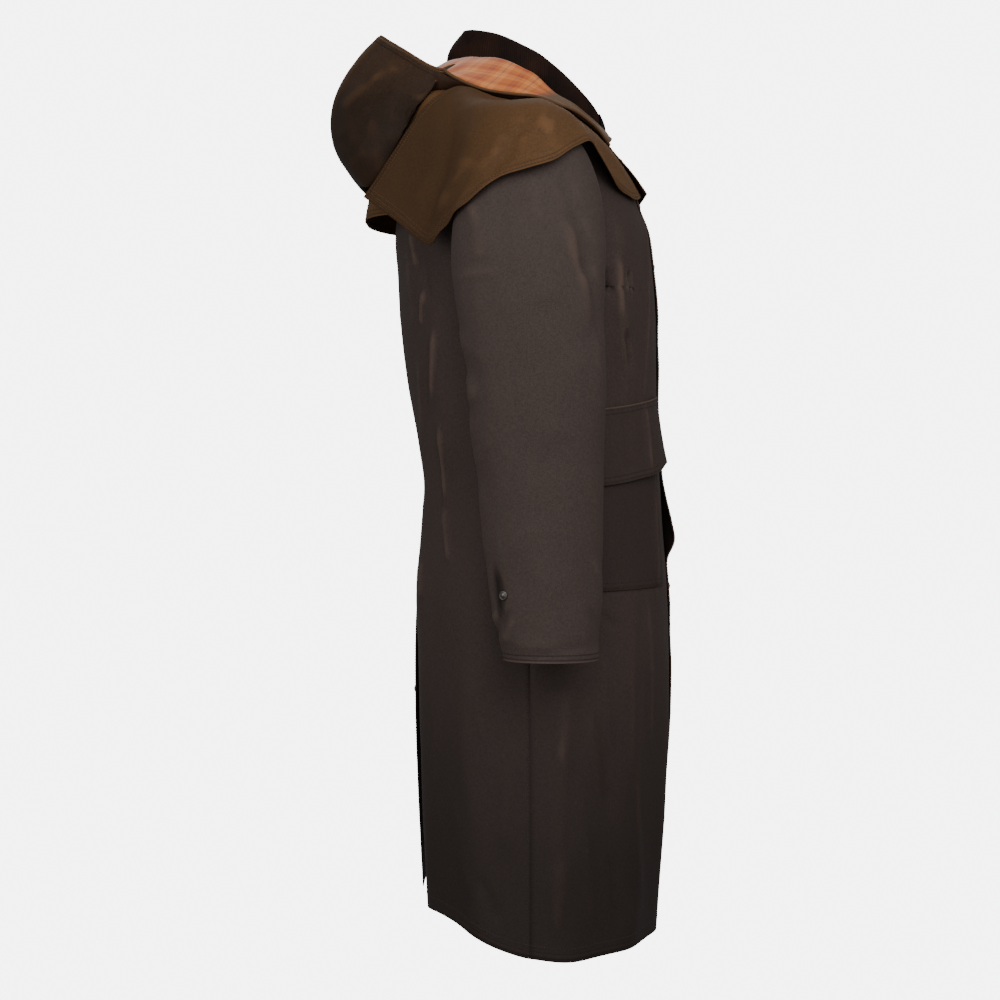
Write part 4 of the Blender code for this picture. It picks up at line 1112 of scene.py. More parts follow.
@functools.lru_cache(maxsize=None)
def sleeve_shapes():
    """Fine grids of both sleeves: smooth rings, crumpled, with creases on the outward half."""
    turns = np.arange(FINE_SLEEVE_COLUMNS) * 360.0 / FINE_SLEEVE_COLUMNS
    steps = np.linspace(0.0, float(len(SLEEVE_ROWS)), FINE_SLEEVE_ROWS)
    plain = sleeve_grid(steps, turns)
    outward = soft_step((np.cos(np.radians(turns)) + 0.35) / 0.5)[None, :]
    away = soft_step(steps / 0.8)[:, None]
    shapes = {}
    for side, hand in ((1, "right"), (-1, "left")):
        near = side_lines(SLEEVE_CREASE_ROWS, SLEEVE_CREASES_OUT)
        lines = side_creases(plain, near, side, 0.018) * outward
        elbow = crease_lines(plain[..., 0], plain[..., 2], INNER_SLEEVE_ROWS) * (1 - outward)
        round_way = SLEEVE_RADIUS * np.cos(np.radians(turns))[None, :] + plain[..., 0]
        folds = crumple(round_way, plain[..., 2], 31 + side, 1.6) * coat_sizes().crumple_height
        grid = moved_out(plain, (lines + elbow + folds) * away, wrap=True)
        shapes[hand] = grid if side > 0 else mirrored(grid)
    return shapes


def flap_grid(levels, share, more_out=0.0, creased=False):
    """Storm flap from its fixed edge, share 0, to its free one, 1, which curls out where the table says."""
    free = angle_off_centre(FLAP_FREE_EDGE, levels)
    fixed = -angle_off_centre(FLAP_FIXED_EDGE, levels)
    angle = fixed + (free - fixed) * share
    curl = smooth(levels, CURL["level"], CURL["curl"]) * soft_step((share - CURL_FROM) / (1 - CURL_FROM))
    return body_point(angle, hemmed(levels, angle), WALL + 3 * LAY_GAP + curl + more_out, creased)


@functools.lru_cache(maxsize=None)
def flap_shape():
    """Fine grid of the storm flap, riding on the body's own creases."""
    levels = fine_levels()[:-1, None]
    share = np.linspace(0.0, 1.0, FINE_FLAP_COLUMNS)[None, :]
    ripple = FLAP_RIPPLE * np.sin(levels * 41.0 + 2 * np.sin(levels * 17.0)) * share**2
    return flap_grid(levels, share, ripple + FLAP_RIPPLE * share**2, creased=True)


def yoke_lift(lower, levels):
    """How far the yoke flap stands off the back, and how far down it each point is, from 0 to 1."""
    turn = np.degrees(np.arctan2(np.abs(lower[..., 1]), lower[..., 0] - AXIS_X))
    down = soft_step((levels[:, None] - NECK_LEVEL) / (YOKE_HEM_LEVEL - NECK_LEVEL))
    return smooth(turn, YOKE["angle"], YOKE["lift"]) * down, down


@functools.lru_cache(maxsize=None)
def yoke_shape():
    """Fine grid of the back yoke flap: the upper backs moved out, more towards the hem."""
    levels = np.linspace(*YOKE_LEVELS, FINE_YOKE_ROWS)
    shares = np.linspace(0.0, 1 - YOKE_FIRST_COLUMN / PANEL_COLUMNS, FINE_YOKE_COLUMNS)
    right = panel_grid(1, False, levels, shares)[:, :-1]
    left = panel_grid(-1, False, levels, shares)[:, 1:]
    centre = body_point(180.0, levels[:, None])
    lower = np.concatenate((right, centre, left), axis=1)
    lift, down = yoke_lift(lower, levels)
    wave = crumple(lower[..., 1], lower[..., 2], 61, 1.4) * coat_sizes().crumple_height * down
    return moved_out(lower, WALL + LAY_GAP + 0.0006 + lift + np.abs(wave))


@functools.lru_cache(maxsize=None)
def coarse_layers():
    """The solids' own capes and hood, draped one over the other on their coarse grids."""
    levels, shares = panel_levels(), panel_shares()
    backs = [panel_grid(side, False, levels, shares) for side in (1, -1)]
    rows = (levels > YOKE_HEM_LEVEL - 0.001) & (levels < NECK_LEVEL - 0.001)
    right = backs[0][rows, YOKE_FIRST_COLUMN:-1]
    left = backs[1][rows, 1:-YOKE_FIRST_COLUMN]
    centre = (backs[0][rows, -1] + backs[1][rows, 0]) / 2
    lower = np.concatenate((right, centre[:, None, :], left), axis=1)
    lift, _ = yoke_lift(lower, levels[rows])
    yoke = moved_out(lower, WALL + LAY_GAP + lift)
    flap = flap_grid(levels[:-1, None], np.array(FLAP_SHARES)[None, :])
    under = joined_samples(under_samples(), samples_of(yoke, WALL), samples_of(flap, FLAP_WALL))
    sections = np.linspace(0.0, len(CAPE_ROWS) - 1.0, 2 * len(CAPE_ROWS) - 1)
    shares = np.linspace(1.0, 0.0, 9)
    clearance = 2 * LAY_GAP + (CAPE_CLEARANCE - 2 * LAY_GAP) * soft_step(shares / 0.25)[:, None]
    layers = {}
    for side, hand in ((1, "right"), (-1, "left")):
        lap = CAPE_LAP_OUT * soft_step(2.0 - sections)[None, :] if side < 0 else 0.0
        grid = cape_grid(sections, shares, side)
        if side < 0:
            grid = mirrored(grid)[:, ::-1]
        grid = laid_over(grid, under, clearance + lap)
        layers[hand] = grid if side > 0 else grid[:, ::-1]
    capes = [samples_of(layers[hand], WALL) for hand in ("right", "left")]
    layers["hood"] = laid_over(
        hood_grid(BAG["share"][::-1]), joined_samples(under, *capes), HOOD_CLEARANCE
    )
    return layers


def joined_samples(*samples):
    return [np.concatenate(parts) for parts in zip(*samples)]


def finer_both_ways(grid, times_down, times_across):
    down = refined(grid, times_down)
    return refined(down.swapaxes(0, 1), times_across).swapaxes(0, 1)


def fine_samples(grid, wall, wrap=False, step=1):
    """Points and normals on the outer face of a fine grid."""
    outer = moved_out(grid, wall, wrap)[::step, ::step]
    return outer.reshape(-1, 3), normals_of(outer, wrap and step == 1).reshape(-1, 3)


def lifted_clear(grid, under, clearance, passes=(6, 3, 1, 0)):
    """Pushes the grid out where it comes nearer than the clearance to what lies beneath it."""
    samples, normals = under
    for blurs in passes:
        height, beside, facing = height_over(grid.reshape(-1, 3), samples, normals)
        near = (beside < LIFT_REACH) & (height > LIFT_DEEPEST)
        short = np.maximum(clearance - height, 0.0) * near
        push = (short[:, None] * facing).reshape(grid.shape)
        for _ in range(blurs):
            spread = blurred(push)
            push = np.where(np.abs(spread) > np.abs(push), spread, push)
        grid = grid + push
    return grid


@functools.lru_cache(maxsize=None)
def fine_under():
    """What the capes lie on, as points: body, sleeves, yoke and storm flap with their creases."""
    bodies = body_shapes()
    sleeves = sleeve_shapes()
    levels = fine_levels()
    top = levels > -0.36
    parts = [fine_samples(grid[top], WALL, step=2) for grid in bodies.values()]
    parts += [fine_samples(grid[:90], WALL, step=2) for grid in sleeves.values()]
    parts.append(fine_samples(yoke_shape(), WALL, step=1))
    parts.append(fine_samples(flap_shape()[top[:-1]], FLAP_WALL, step=1))
    return joined_samples(*parts)


@functools.lru_cache(maxsize=None)
def cape_shapes():
    """Fine grids of the cape halves: the solids' grids made finer, creased, and laid clear again."""
    layers = coarse_layers()
    shapes = {}
    for side, hand in ((1, "right"), (-1, "left")):
        grid = finer_both_ways(layers[hand], 8, 6)
        lines = side_creases(grid, side_lines(CAPE_CREASE_ROWS, CAPE_CREASES_OUT), side, 0.014)
        folds = crumple(grid[..., 0] * 1.3, grid[..., 2] - np.abs(grid[..., 1]), 71 + side, 1.0)
        share = np.linspace(0.0, 1.0, len(grid))[:, None]
        quiet = soft_step((1 - share) / 0.12)
        height = (lines + folds * coat_sizes().crumple_height) * quiet
        grid = moved_out(grid, height)
        shapes[hand] = lifted_clear(grid, fine_under(), CAPE_NEAREST)
    return shapes


@functools.lru_cache(maxsize=None)
def hood_shapes():
    """Fine grids of the hood's cloth, its lining and the middle line of its rolled edge."""
    grid = finer_both_ways(coarse_layers()["hood"], HOOD_TIMES_DOWN, HOOD_TIMES_ACROSS)
    rows = side_lines(HOOD_CREASE_ROWS, HOOD_CREASES_OUT)
    lines = crease_lines(grid[..., 0], grid[..., 2], rows)
    folds = crumple(grid[..., 0], grid[..., 2] + np.abs(grid[..., 1]), 91, 1.0)
    share = np.linspace(0.0, 1.0, len(grid))[:, None]
    quiet = soft_step(share / 0.08) * soft_step((1 - share) / 0.12)
    away = soft_step((-grid[..., 0] - 0.07) / 0.04)
    height = (lines * coat_sizes().crease_share * away + folds * coat_sizes().crumple_height) * quiet
    shell = moved_out(grid, -height)
    capes = joined_samples(*(fine_samples(cape, WALL) for cape in cape_shapes().values()))
    under = joined_samples(fine_under(), capes)
    shell = lifted_clear(shell, under, HOOD_NEAREST)
    inward = unit(spread_blur(normals_of(shell), LINING_BLURS))
    lining = shell + inward * (WALL + LINING_GAP)
    turns = hood_turns_fine()
    deep = soft_step((share - 0.04) / 0.10) * soft_step((0.94 - share) / 0.08)
    deep = deep * soft_step((np.minimum(turns, 360.0 - turns) - 132.0) / 8.0)[None, :]
    centre = shell[len(shell) // 4:-len(shell) // 4, abs(turns - 180.0) < 40.0].mean(axis=(0, 1))
    lining = lining + unit(centre - lining) * (LINING_PULL * deep)[..., None]
    along_rim = np.gradient(lining[0], axis=0)
    facing = normals_of(lining)[0]
    beyond = unit(np.cross(facing, along_rim))
    edge = lining[0] + beyond * (HOOD_EDGE_RADIUS + HOOD_EDGE_GAP * 0.3) + facing * HOOD_EDGE_LIFT
    return {"shell": shell, "lining": lining, "edge": edge, "beyond": beyond, "facing": facing}


def hood_turns_fine():
    """Turn of each column of the fine hood, signed by side."""
    half = np.array(HOOD_TURNS, float)
    both = np.concatenate((half, 360.0 - half[-2::-1]))
    return refined(both[:, None], HOOD_TIMES_ACROSS)[:, 0]


@functools.lru_cache(maxsize=None)
def side_fold_shapes():
    """The hood's outer cloth where it turns under the rim: from the cape's face below and inwards of the
    rim up to the rim, bowed out between."""
    rim = hood_shapes()["shell"][0]
    turns = hood_turns_fine()
    cape, _ = joined_samples(*(fine_samples(grid, WALL) for grid in cape_shapes().values()))
    low, high = SIDE_FOLD_TURNS
    shapes = {}
    for side, hand in ((1, "right"), (-1, "left")):
        turn = turns if side > 0 else 360.0 - turns
        top = rim[(turn > low) & (turn < high)]
        top = top if side > 0 else top[::-1]
        inward = np.array((0.0, side * SIDE_FOLD_IN, 0.0))
        foot = top + inward
        foot[:, 2] = cape[nearest_samples(foot[:, :2], cape[:, :2]), 2] - WALL
        ends = np.minimum(np.arange(len(top)), np.arange(len(top))[::-1]) / 6.0
        start = top + np.array((0.0, side * 0.0006, -0.0012))
        share = np.linspace(0.0, 1.0, SIDE_FOLD_ROWS)[:, None, None]
        bow = np.sin(np.pi * share) * SIDE_FOLD_BULGE * np.clip(ends, 0.0, 1.0)[None, :, None]
        grid = foot[None] * (1 - share) + start[None] * share + bow * np.array((0.0, -side, 0.0))
        shapes[hand] = grid if side > 0 else grid[:, ::-1]
    return shapes


@functools.lru_cache(maxsize=None)
def collar_shape():
    """Fine grid of the collar, its wales standing along its height."""
    sizes = coat_sizes()
    turns = np.linspace(COLLAR_START, COLLAR_END, FINE_COLLAR_COLUMNS)
    shares = np.linspace(0.0, 1.0, FINE_COLLAR_ROWS)
    plain = collar_grid(turns, shares)
    middle = plain[FINE_COLLAR_ROWS // 2]
    run = np.concatenate(((0.0,), np.cumsum(np.linalg.norm(np.diff(middle, axis=0), axis=1))))
    wale = sizes.wale_height * np.abs(np.cos(np.pi * run / sizes.wale_pitch))[None, :] ** 0.7
    sway = 0.0012 * np.sin(run * 34.0)[None, :] * shares[:, None] ** 2
    fade = soft_step((1 - shares) / 0.05)[:, None] * soft_step(shares / 0.05)[:, None]
    return moved_out(plain, wale * fade + sway)


@functools.lru_cache(maxsize=None)
def pocket_shapes():
    """Fine grids of the patch pockets and their flaps on both sides."""
    shapes = {}
    patch_out = WALL + 2 * LAY_GAP
    angles = np.linspace(POCKET_FRONT_ANGLE, POCKET_REAR_ANGLE, FINE_POCKET_COLUMNS)[None, :]
    levels = np.linspace(POCKET_BOTTOM, POCKET_TOP, FINE_POCKET_ROWS)[:, None]
    flap_angles = np.linspace(POCKET_FLAP_FRONT_ANGLE, POCKET_FLAP_REAR_ANGLE, FINE_FLAP_ANGLES)
    top, bottom, flare = (
        smooth(flap_angles, POCKET_FLAP["angle"], POCKET_FLAP[name])[None, :]
        for name in POCKET_FLAP_COLUMNS[1:]
    )
    share = np.linspace(1.0, 0.0, FINE_FLAP_ROWS)[:, None]
    level = top + (bottom - top) * share
    out = patch_out + PATCH_WALL + 2 * LAY_GAP + flare * share**2 + 0.0012 * np.sin(np.pi * share)
    for side, hand in ((1, "right"), (-1, "left")):
        patch = body_point(side * angles, levels, patch_out, creased=True)
        flap = body_point(side * flap_angles[None, :], level, out, creased=True)
        shapes[f"pocket_{hand}"] = patch if side > 0 else patch[:, ::-1]
        shapes[f"pocket_flap_{hand}"] = flap if side > 0 else flap[:, ::-1]
    return shapes


# Meshes

def running_lengths(grid, wrap):
    """Mean distances along the columns and the rows, in metres, one more across if the grid closes."""
    closed = np.concatenate((grid, grid[:, :1]), axis=1) if wrap else grid
    across = np.linalg.norm(np.diff(closed, axis=1), axis=-1).mean(axis=0)
    down = np.linalg.norm(np.diff(grid, axis=0), axis=-1).mean(axis=1)
    return np.concatenate(((0.0,), np.cumsum(across))), np.concatenate(((0.0,), np.cumsum(down)))


def edge_distance(grid, sides):
    """Distance of each point from the nearest of the named edges, measured along the cloth."""
    best = np.full(grid.shape[:2], 1.0)
    for side in sides:
        best = np.minimum(best, turned_back(depths_from_edge(turned_to(grid, side)), side))
    return best


def turned_to(grid, side):
    """The grid with the named edge as its first row."""
    turned = grid.swapaxes(0, 1) if side.endswith("column") else grid
    return turned[::-1] if side.startswith("last") else turned


def turned_back(field, side):
    turned = field[::-1] if side.startswith("last") else field
    return turned.swapaxes(0, 1) if side.endswith("column") else turned


def depths_from_edge(turned):
    """Distance of each point from the first row, measured along the cloth."""
    steps = np.linalg.norm(np.diff(turned, axis=0), axis=-1)
    return np.concatenate((np.zeros((1, turned.shape[1])), np.cumsum(steps, axis=0)))


def finished(piece, finish, replaced):
    bpy.context.scene.collection.objects.link(piece)
    piece.data.materials.append(bpy.data.materials[finish])
    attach(piece, "root")
    if replaced:
        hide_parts(replaced)
    return piece


def cloth_piece(name, grid, finish, wall=WALL, wrap=False, outer=1, stitched=(), painted_shade_and_darkening=None,
                replaced=None):
    """A thin shell on the grid, with its measures as UV, and as attributes its ridge height, which the
    finishes paint as wear, highlight and crease shade, its seam distance, and its painted shade and
    darkening. The shell's other face lies to the side that the grid's normals point to."""
    mesh = bpy.data.meshes.new(name)
    rows, columns = grid.shape[:2]
    faces = quads(rows, columns, wrap)
    mesh.from_pydata(grid.reshape(-1, 3), [], faces)
    across, down = running_lengths(grid, wrap)
    row = np.arange(rows - 1)[:, None]
    column = np.arange(columns if wrap else columns - 1)[None, :]
    corner_rows = np.stack(np.broadcast_arrays(row, row + 1, row + 1, row + 0 * column), axis=-1)
    corner_columns = np.stack(
        np.broadcast_arrays(column, column, column + 1, column + 1 + 0 * row), axis=-1
    )
    places = np.stack((across[corner_columns], down[corner_rows]), axis=-1)
    mesh.uv_layers.new(name="cloth").data.foreach_set("uv", places.astype(np.float32).ravel())
    fields = {
        "wear_and_painted_light": wear_and_painted_light_field(grid, wrap, outer),
        "seam": edge_distance(grid, stitched) if stitched else np.full(grid.shape[:2], 1.0),
        "painted_shade_and_darkening": np.zeros(grid.shape[:2]) if painted_shade_and_darkening is None else painted_shade_and_darkening,
    }
    for label, field in fields.items():
        made = mesh.attributes.new(label, "FLOAT", "POINT")
        made.data.foreach_set("value", np.ascontiguousarray(field, np.float32).ravel())
    mesh.shade_smooth()
    piece = bpy.data.objects.new(name, mesh)
    finished(piece, finish, replaced)
    solid = piece.modifiers.new("wall", "SOLIDIFY")
    solid.thickness = wall
    solid.offset = 1.0
    return piece


def tube_piece(name, path, radius, side_way, out_way, finish, replaced, sides=10):
    """A round profile carried along the path, closed at both ends by a pole."""
    turn = np.arange(sides) * 2 * np.pi / sides
    ring = np.cos(turn)[None, :, None] * side_way[:, None] + np.sin(turn)[None, :, None] * out_way[:, None]
    body = path[:, None, :] + radius * ring
    grid = np.concatenate((path[:1, None].repeat(sides, 1), body, path[-1:, None].repeat(sides, 1)))
    return ringed_piece(name, grid, finish, replaced)


def ringed_piece(name, grid, finish, replaced):
    """Rings in rows, joined into one closed mesh whose first and last rows are welded to poles."""
    mesh = bpy.data.meshes.new(name)
    mesh.from_pydata(grid.reshape(-1, 3), [], quads(*grid.shape[:2], True))
    welded = bmesh.new()
    welded.from_mesh(mesh)
    bmesh.ops.remove_doubles(welded, verts=welded.verts, dist=1e-6)
    bmesh.ops.recalc_face_normals(welded, faces=welded.faces)
    welded.to_mesh(mesh)
    welded.free()
    mesh.shade_smooth()
    return finished(bpy.data.objects.new(name, mesh), finish, replaced)


# Stitching

def line_at(grid, side, distance, wall, first=0.0, last=1.0):
    """Points and normals on the outer face, this far from the named edge along the cloth."""
    outer = moved_out(grid, wall)
    turned, facing = turned_to(outer, side), turned_to(normals_of(grid), side)
    lengths = depths_from_edge(turned)
    low = np.clip((lengths < distance).sum(axis=0) - 1, 0, len(turned) - 2)
    column = np.arange(turned.shape[1])
    share = (distance - lengths[low, column]) / (lengths[low + 1, column] - lengths[low, column])
    share = np.clip(share, 0.0, 1.0)[:, None]
    points = turned[low, column] * (1 - share) + turned[low + 1, column] * share
    normals = unit(facing[low, column] * (1 - share) + facing[low + 1, column] * share)
    chosen = slice(int(first * len(points)), max(int(last * len(points)), 2))
    return points[chosen], normals[chosen]


def stitch_places(points, normals, pitch):
    """Middle, run, side and out vectors of each stitch along one line."""
    steps = np.linalg.norm(np.diff(points, axis=0), axis=1)
    run = np.concatenate(((0.0,), np.cumsum(steps)))
    at = np.arange(pitch / 2, run[-1], pitch)
    middle = np.stack([np.interp(at, run, points[:, i]) for i in range(3)], axis=1)
    out = unit(np.stack([np.interp(at, run, normals[:, i]) for i in range(3)], axis=1))
    ahead = np.stack([np.interp(at + 0.001, run, points[:, i]) for i in range(3)], axis=1)
    behind = np.stack([np.interp(at - 0.001, run, points[:, i]) for i in range(3)], axis=1)
    along = unit(ahead - behind + 1e-9)
    return middle, along, np.cross(out, along), out


def stitching(name, lines, finish):
    """Each stitch is a short four-sided bar, thick in the middle and sunk at both ends."""
    sizes = coat_sizes()
    bars = [stitch_places(points, normals, sizes.stitch_pitch) for points, normals in lines]
    middle, along, beside, out = (np.concatenate(parts)[:, None, None] for parts in zip(*bars))
    run = np.array(STITCH_RUN)[:, None, None] * sizes.stitch_length
    thick = np.array(STITCH_THICK)[:, None, None] * sizes.stitch_radius
    sink = np.array(STITCH_SINK)[:, None, None] * sizes.stitch_radius
    turn = (np.arange(4) * np.pi / 2)[None, :, None]
    points = (
        middle + along * run + beside * thick * np.cos(turn) + out * (thick * np.sin(turn) + sink)
    )
    count, rings = len(points), len(STITCH_RUN)
    ring = quads(rings, 4, True)
    ends = np.array(((3, 2, 1, 0), (4 * rings - 4, 4 * rings - 3, 4 * rings - 2, 4 * rings - 1)))
    faces = np.concatenate((ring[:, ::-1], ends[:, ::-1]))
    every = (faces[None] + (np.arange(count) * 4 * rings)[:, None, None]).reshape(-1, 4)
    mesh = bpy.data.meshes.new(name)
    mesh.from_pydata(points.reshape(-1, 3), [], every)
    mesh.shade_smooth()
    piece = bpy.data.objects.new(name, mesh)
    return finished(piece, finish, None)


# Materials

class Finish:
    """A material under making: adds nodes and links them to its Principled shader."""

    def __init__(self, name):
        self.material = bpy.data.materials.get(name) or bpy.data.materials.new(name)
        self.material.use_nodes = True
        self.tree = self.material.node_tree
        self.tree.nodes.clear()
        self.output = self.tree.nodes.new("ShaderNodeOutputMaterial")
        self.shader = self.tree.nodes.new("ShaderNodeBsdfPrincipled")
        self.tree.links.new(self.shader.outputs[0], self.output.inputs["Surface"])

    def add(self, kind, inputs=(), **settings):
        node = self.tree.nodes.new("ShaderNode" + kind)
        for key, value in settings.items():
            setattr(node, key, value)
        for key, value in dict(inputs).items():
            if isinstance(value, bpy.types.NodeSocket):
                self.tree.links.new(value, node.inputs[key])
            else:
                node.inputs[key].default_value = value
        return node

    def math(self, operation, first, second=0.0, third=0.0, clamp=False):
        inputs = {0: first, 1: second, 2: third}
        return self.add("Math", inputs, operation=operation, use_clamp=clamp).outputs[0]

    def mix(self, share, first, second, blend="MIX"):
        node = self.add("Mix", {0: share, 6: first, 7: second}, data_type="RGBA", blend_type=blend)
        return node.outputs[2]

    def noise(self, vector, scale, detail=3.0, roughness=0.5):
        inputs = {"Vector": vector, "Scale": scale, "Detail": detail, "Roughness": roughness}
        return self.add("TexNoise", inputs).outputs[0]

    def ramp(self, value, low, high, smooth_ends=True):
        kind = "SMOOTHSTEP" if smooth_ends else "LINEAR"
        inputs = {"Value": value, "From Min": low, "From Max": high}
        return self.add("MapRange", inputs, interpolation_type=kind, clamp=True).outputs[0]

    def field(self, name):
        return self.add("Attribute", attribute_name=name).outputs["Fac"]

    def scaled(self, vector, scale):
        return self.add("Mapping", {"Vector": vector, "Scale": scale}).outputs[0]

    def link(self, socket, name):
        self.tree.links.new(socket, self.shader.inputs[name])

    def set(self, **values):
        for key, value in values.items():
            self.shader.inputs[key.replace("_", " ")].default_value = value


def rgba(colour, times=1.0):
    return (*(times * c for c in colour[:3]), 1.0)


def seam_groove(make, seam):
    """1 in the two sewn lines beside a stitched edge and 0 away from them."""
    first = make.math("ABSOLUTE", make.math("SUBTRACT", seam, SEAM_LINES[0]))
    second = make.math("ABSOLUTE", make.math("SUBTRACT", seam, SEAM_LINES[1]))
    nearest = make.math("MINIMUM", first, second)
    return make.ramp(nearest, 0.0015, 0.0003)


def waxed_cotton(name, dark, base, worn, cloudiness):
    """Waxed cloth: two sizes of cloudy wax, a slubby weave along both threads, ridges lightened as wear and
    as painted highlight, worn edges, darker sewn lines, painted shade in the hollows of the creases and the
    piece's own painted shade."""
    make = Finish(name)
    coordinates = make.add("TexCoord")
    place, cloth = coordinates.outputs["Object"], coordinates.outputs["UV"]
    clouds = make.noise(place, 5.0, 5.0, 0.62)
    patches = make.noise(place, 26.0, 4.0, 0.6)
    grain = make.noise(place, 900.0, 2.0, 0.6)
    threads = [make.noise(make.scaled(cloth, scale), 1.0, 2.0) for scale in WEAVE_SCALES]
    weave = make.math("ADD", *threads)
    cloudy = make.math("ADD", make.math("MULTIPLY", clouds, 0.7), make.math("MULTIPLY", patches, 0.3))
    cloudy = make.ramp(cloudy, 0.5 - cloudiness, 0.5 + cloudiness, smooth_ends=False)
    colour = make.mix(cloudy, rgba(dark), rgba(base))
    mottle = make.ramp(make.noise(place, 330.0, 3.0, 0.7), 0.30, 0.70, smooth_ends=False)
    colour = make.mix(make.math("MULTIPLY", mottle, 0.34), colour, rgba(base, 1.9))
    colour = make.mix(make.ramp(weave, 0.75, 1.3), colour, make.mix(0.12, colour, rgba(worn)))
    # Ridges lightened towards the worn colour: partly real wear of the wax, partly painted highlight where
    # the folds catch the light.
    wear_and_painted_light = make.math("MULTIPLY", make.field("wear_and_painted_light"), 0.05)
    wear_and_painted_light = make.math("MULTIPLY_ADD", patches, 0.5, make.math("SUBTRACT", wear_and_painted_light, 0.25))
    wear_and_painted_light = make.ramp(wear_and_painted_light, 0.10, 1.25)
    seam = make.field("seam")
    rubbed = make.math("MULTIPLY", make.ramp(seam, 0.0028, 0.0), 0.7)
    wear_and_highlight_share = make.math("MAXIMUM", make.math("MULTIPLY", wear_and_painted_light, 0.5), rubbed)
    colour = make.mix(wear_and_highlight_share, colour, rgba(worn))
    groove = seam_groove(make, seam)
    # Painted shade in the hollows of the creases.
    painted_crease_shade = make.ramp(make.field("wear_and_painted_light"), -2.0, -40.0)
    sewn_lines_and_painted_shade = make.math("MAXIMUM", make.math("MULTIPLY", groove, 0.55), make.math("MULTIPLY", painted_crease_shade, 0.3))
    # Painted shade of the piece: towards the hem, at the back of the cape, on the lower hood, on the
    # pockets and in the cuff slit.
    sewn_lines_and_painted_shade = make.math("MAXIMUM", sewn_lines_and_painted_shade, make.field("painted_shade_and_darkening"))
    colour = make.mix(sewn_lines_and_painted_shade, colour, rgba(dark, 0.35))
    make.link(colour, "Base Color")
    rough = make.math("MULTIPLY_ADD", patches, 0.22, 0.56)
    make.link(make.math("MULTIPLY_ADD", grain, 0.08, rough), "Roughness")
    relief = make.math("MULTIPLY_ADD", weave, 0.5, make.math("MULTIPLY", patches, 0.6))
    relief = make.math("SUBTRACT", make.math("MULTIPLY_ADD", grain, 0.25, relief), groove)
    bump = make.add("Bump", {"Height": relief, "Strength": 0.35, "Distance": 0.0006})
    make.link(bump.outputs[0], "Normal")
    make.set(Sheen_Weight=0.05, Sheen_Roughness=0.5, Specular_IOR_Level=0.10)
    make.shader.inputs["Sheen Tint"].default_value = rgba(worn)
    return make.material


def corduroy(name, dark, base):
    """Ribbed pile: painted shade between the wales and painted highlight on their tops, with a soft light
    rim.
    """
    make = Finish(name)
    coordinates = make.add("TexCoord")
    place, cloth = coordinates.outputs["Object"], coordinates.outputs["UV"]
    pile = make.noise(make.scaled(cloth, (2400.0, 500.0, 1.0)), 1.0, 3.0, 0.6)
    clouds = make.noise(place, 18.0, 4.0)
    # Painted highlight on the wales' tops and painted shade between them, from the collar's relief.
    wale_top_highlight = make.ramp(make.field("wear_and_painted_light"), -1.2, 1.4)
    share = make.math("MULTIPLY", make.ramp(clouds, 0.3, 0.75), wale_top_highlight)
    colour = make.mix(make.math("MULTIPLY_ADD", pile, 0.3, share, clamp=True), rgba(dark), rgba(base))
    # Darker lapping end of the collar.
    colour = make.mix(make.field("painted_shade_and_darkening"), colour, rgba(dark, 0.4))
    make.link(colour, "Base Color")
    bump = make.add("Bump", {"Height": pile, "Strength": 0.6, "Distance": 0.0005})
    make.link(bump.outputs[0], "Normal")
    make.link(make.math("MULTIPLY_ADD", pile, 0.1, 0.82), "Roughness")
    make.set(Sheen_Weight=0.12, Sheen_Roughness=0.45, Specular_IOR_Level=0.12)
    make.shader.inputs["Sheen Tint"].default_value = rgba(base)
    return make.material


def plaid(name, ground, light, rust, slate, facing):
    """Brushed check: in both directions a broad light band, a rust band and a thin slate line, at half
    strength each way, with a fine diagonal twill, and the hood's own cloth as a facing at the throat."""
    make = Finish(name)
    cloth = make.add("TexCoord").outputs["UV"]
    split = make.add("SeparateXYZ", {0: cloth})
    across, along = split.outputs[0], split.outputs[1]
    colour_of = {"ground": ground, "light": light, "rust": rust, "slate": slate}
    bands = []
    for measure in (across, along):
        share = make.math("FRACT", make.math("DIVIDE", measure, PLAID_REPEAT))
        ramp = make.add("ValToRGB", {0: share})
        ramp.color_ramp.interpolation = "CONSTANT"
        stops = ramp.color_ramp.elements
        for i, (position, band) in enumerate(PLAID_BANDS):
            stop = stops[i] if i < 2 else stops.new(position)
            stop.position, stop.color = position, rgba(colour_of[band])
        bands.append(ramp.outputs[0])
    colour = make.mix(0.5, *bands)
    twill = make.math("SINE", make.math("MULTIPLY", make.math("ADD", across, along), TWILL_TURNS))
    fuzz = make.noise(make.scaled(cloth, (500.0, 500.0, 1.0)), 1.0, 3.0, 0.6)
    nap = make.math("MULTIPLY_ADD", twill, 0.06, make.math("MULTIPLY_ADD", fuzz, 0.5, 0.7))
    grey = make.add("CombineColor", {0: nap, 1: nap, 2: nap})
    colour = make.mix(1.0, colour, grey.outputs[0], "MULTIPLY")
    colour = make.mix(make.field("painted_shade_and_darkening"), colour, rgba(facing))
    make.link(colour, "Base Color")
    bump = make.add("Bump", {"Height": fuzz, "Strength": 0.5, "Distance": 0.0006})
    make.link(bump.outputs[0], "Normal")
    make.set(Roughness=0.9, Sheen_Weight=0.25, Sheen_Roughness=0.6, Specular_IOR_Level=0.15)
    return make.material


def worn_metal(name, colour):
    make = Finish(name)
    place = make.add("TexCoord").outputs["Object"]
    scratches = make.noise(place, 700.0, 4.0, 0.7)
    make.link(make.mix(scratches, rgba(colour), rgba(colour, 0.45)), "Base Color")
    make.link(make.math("MULTIPLY_ADD", scratches, 0.3, 0.25), "Roughness")
    make.set(Metallic=1.0)
    return make.material


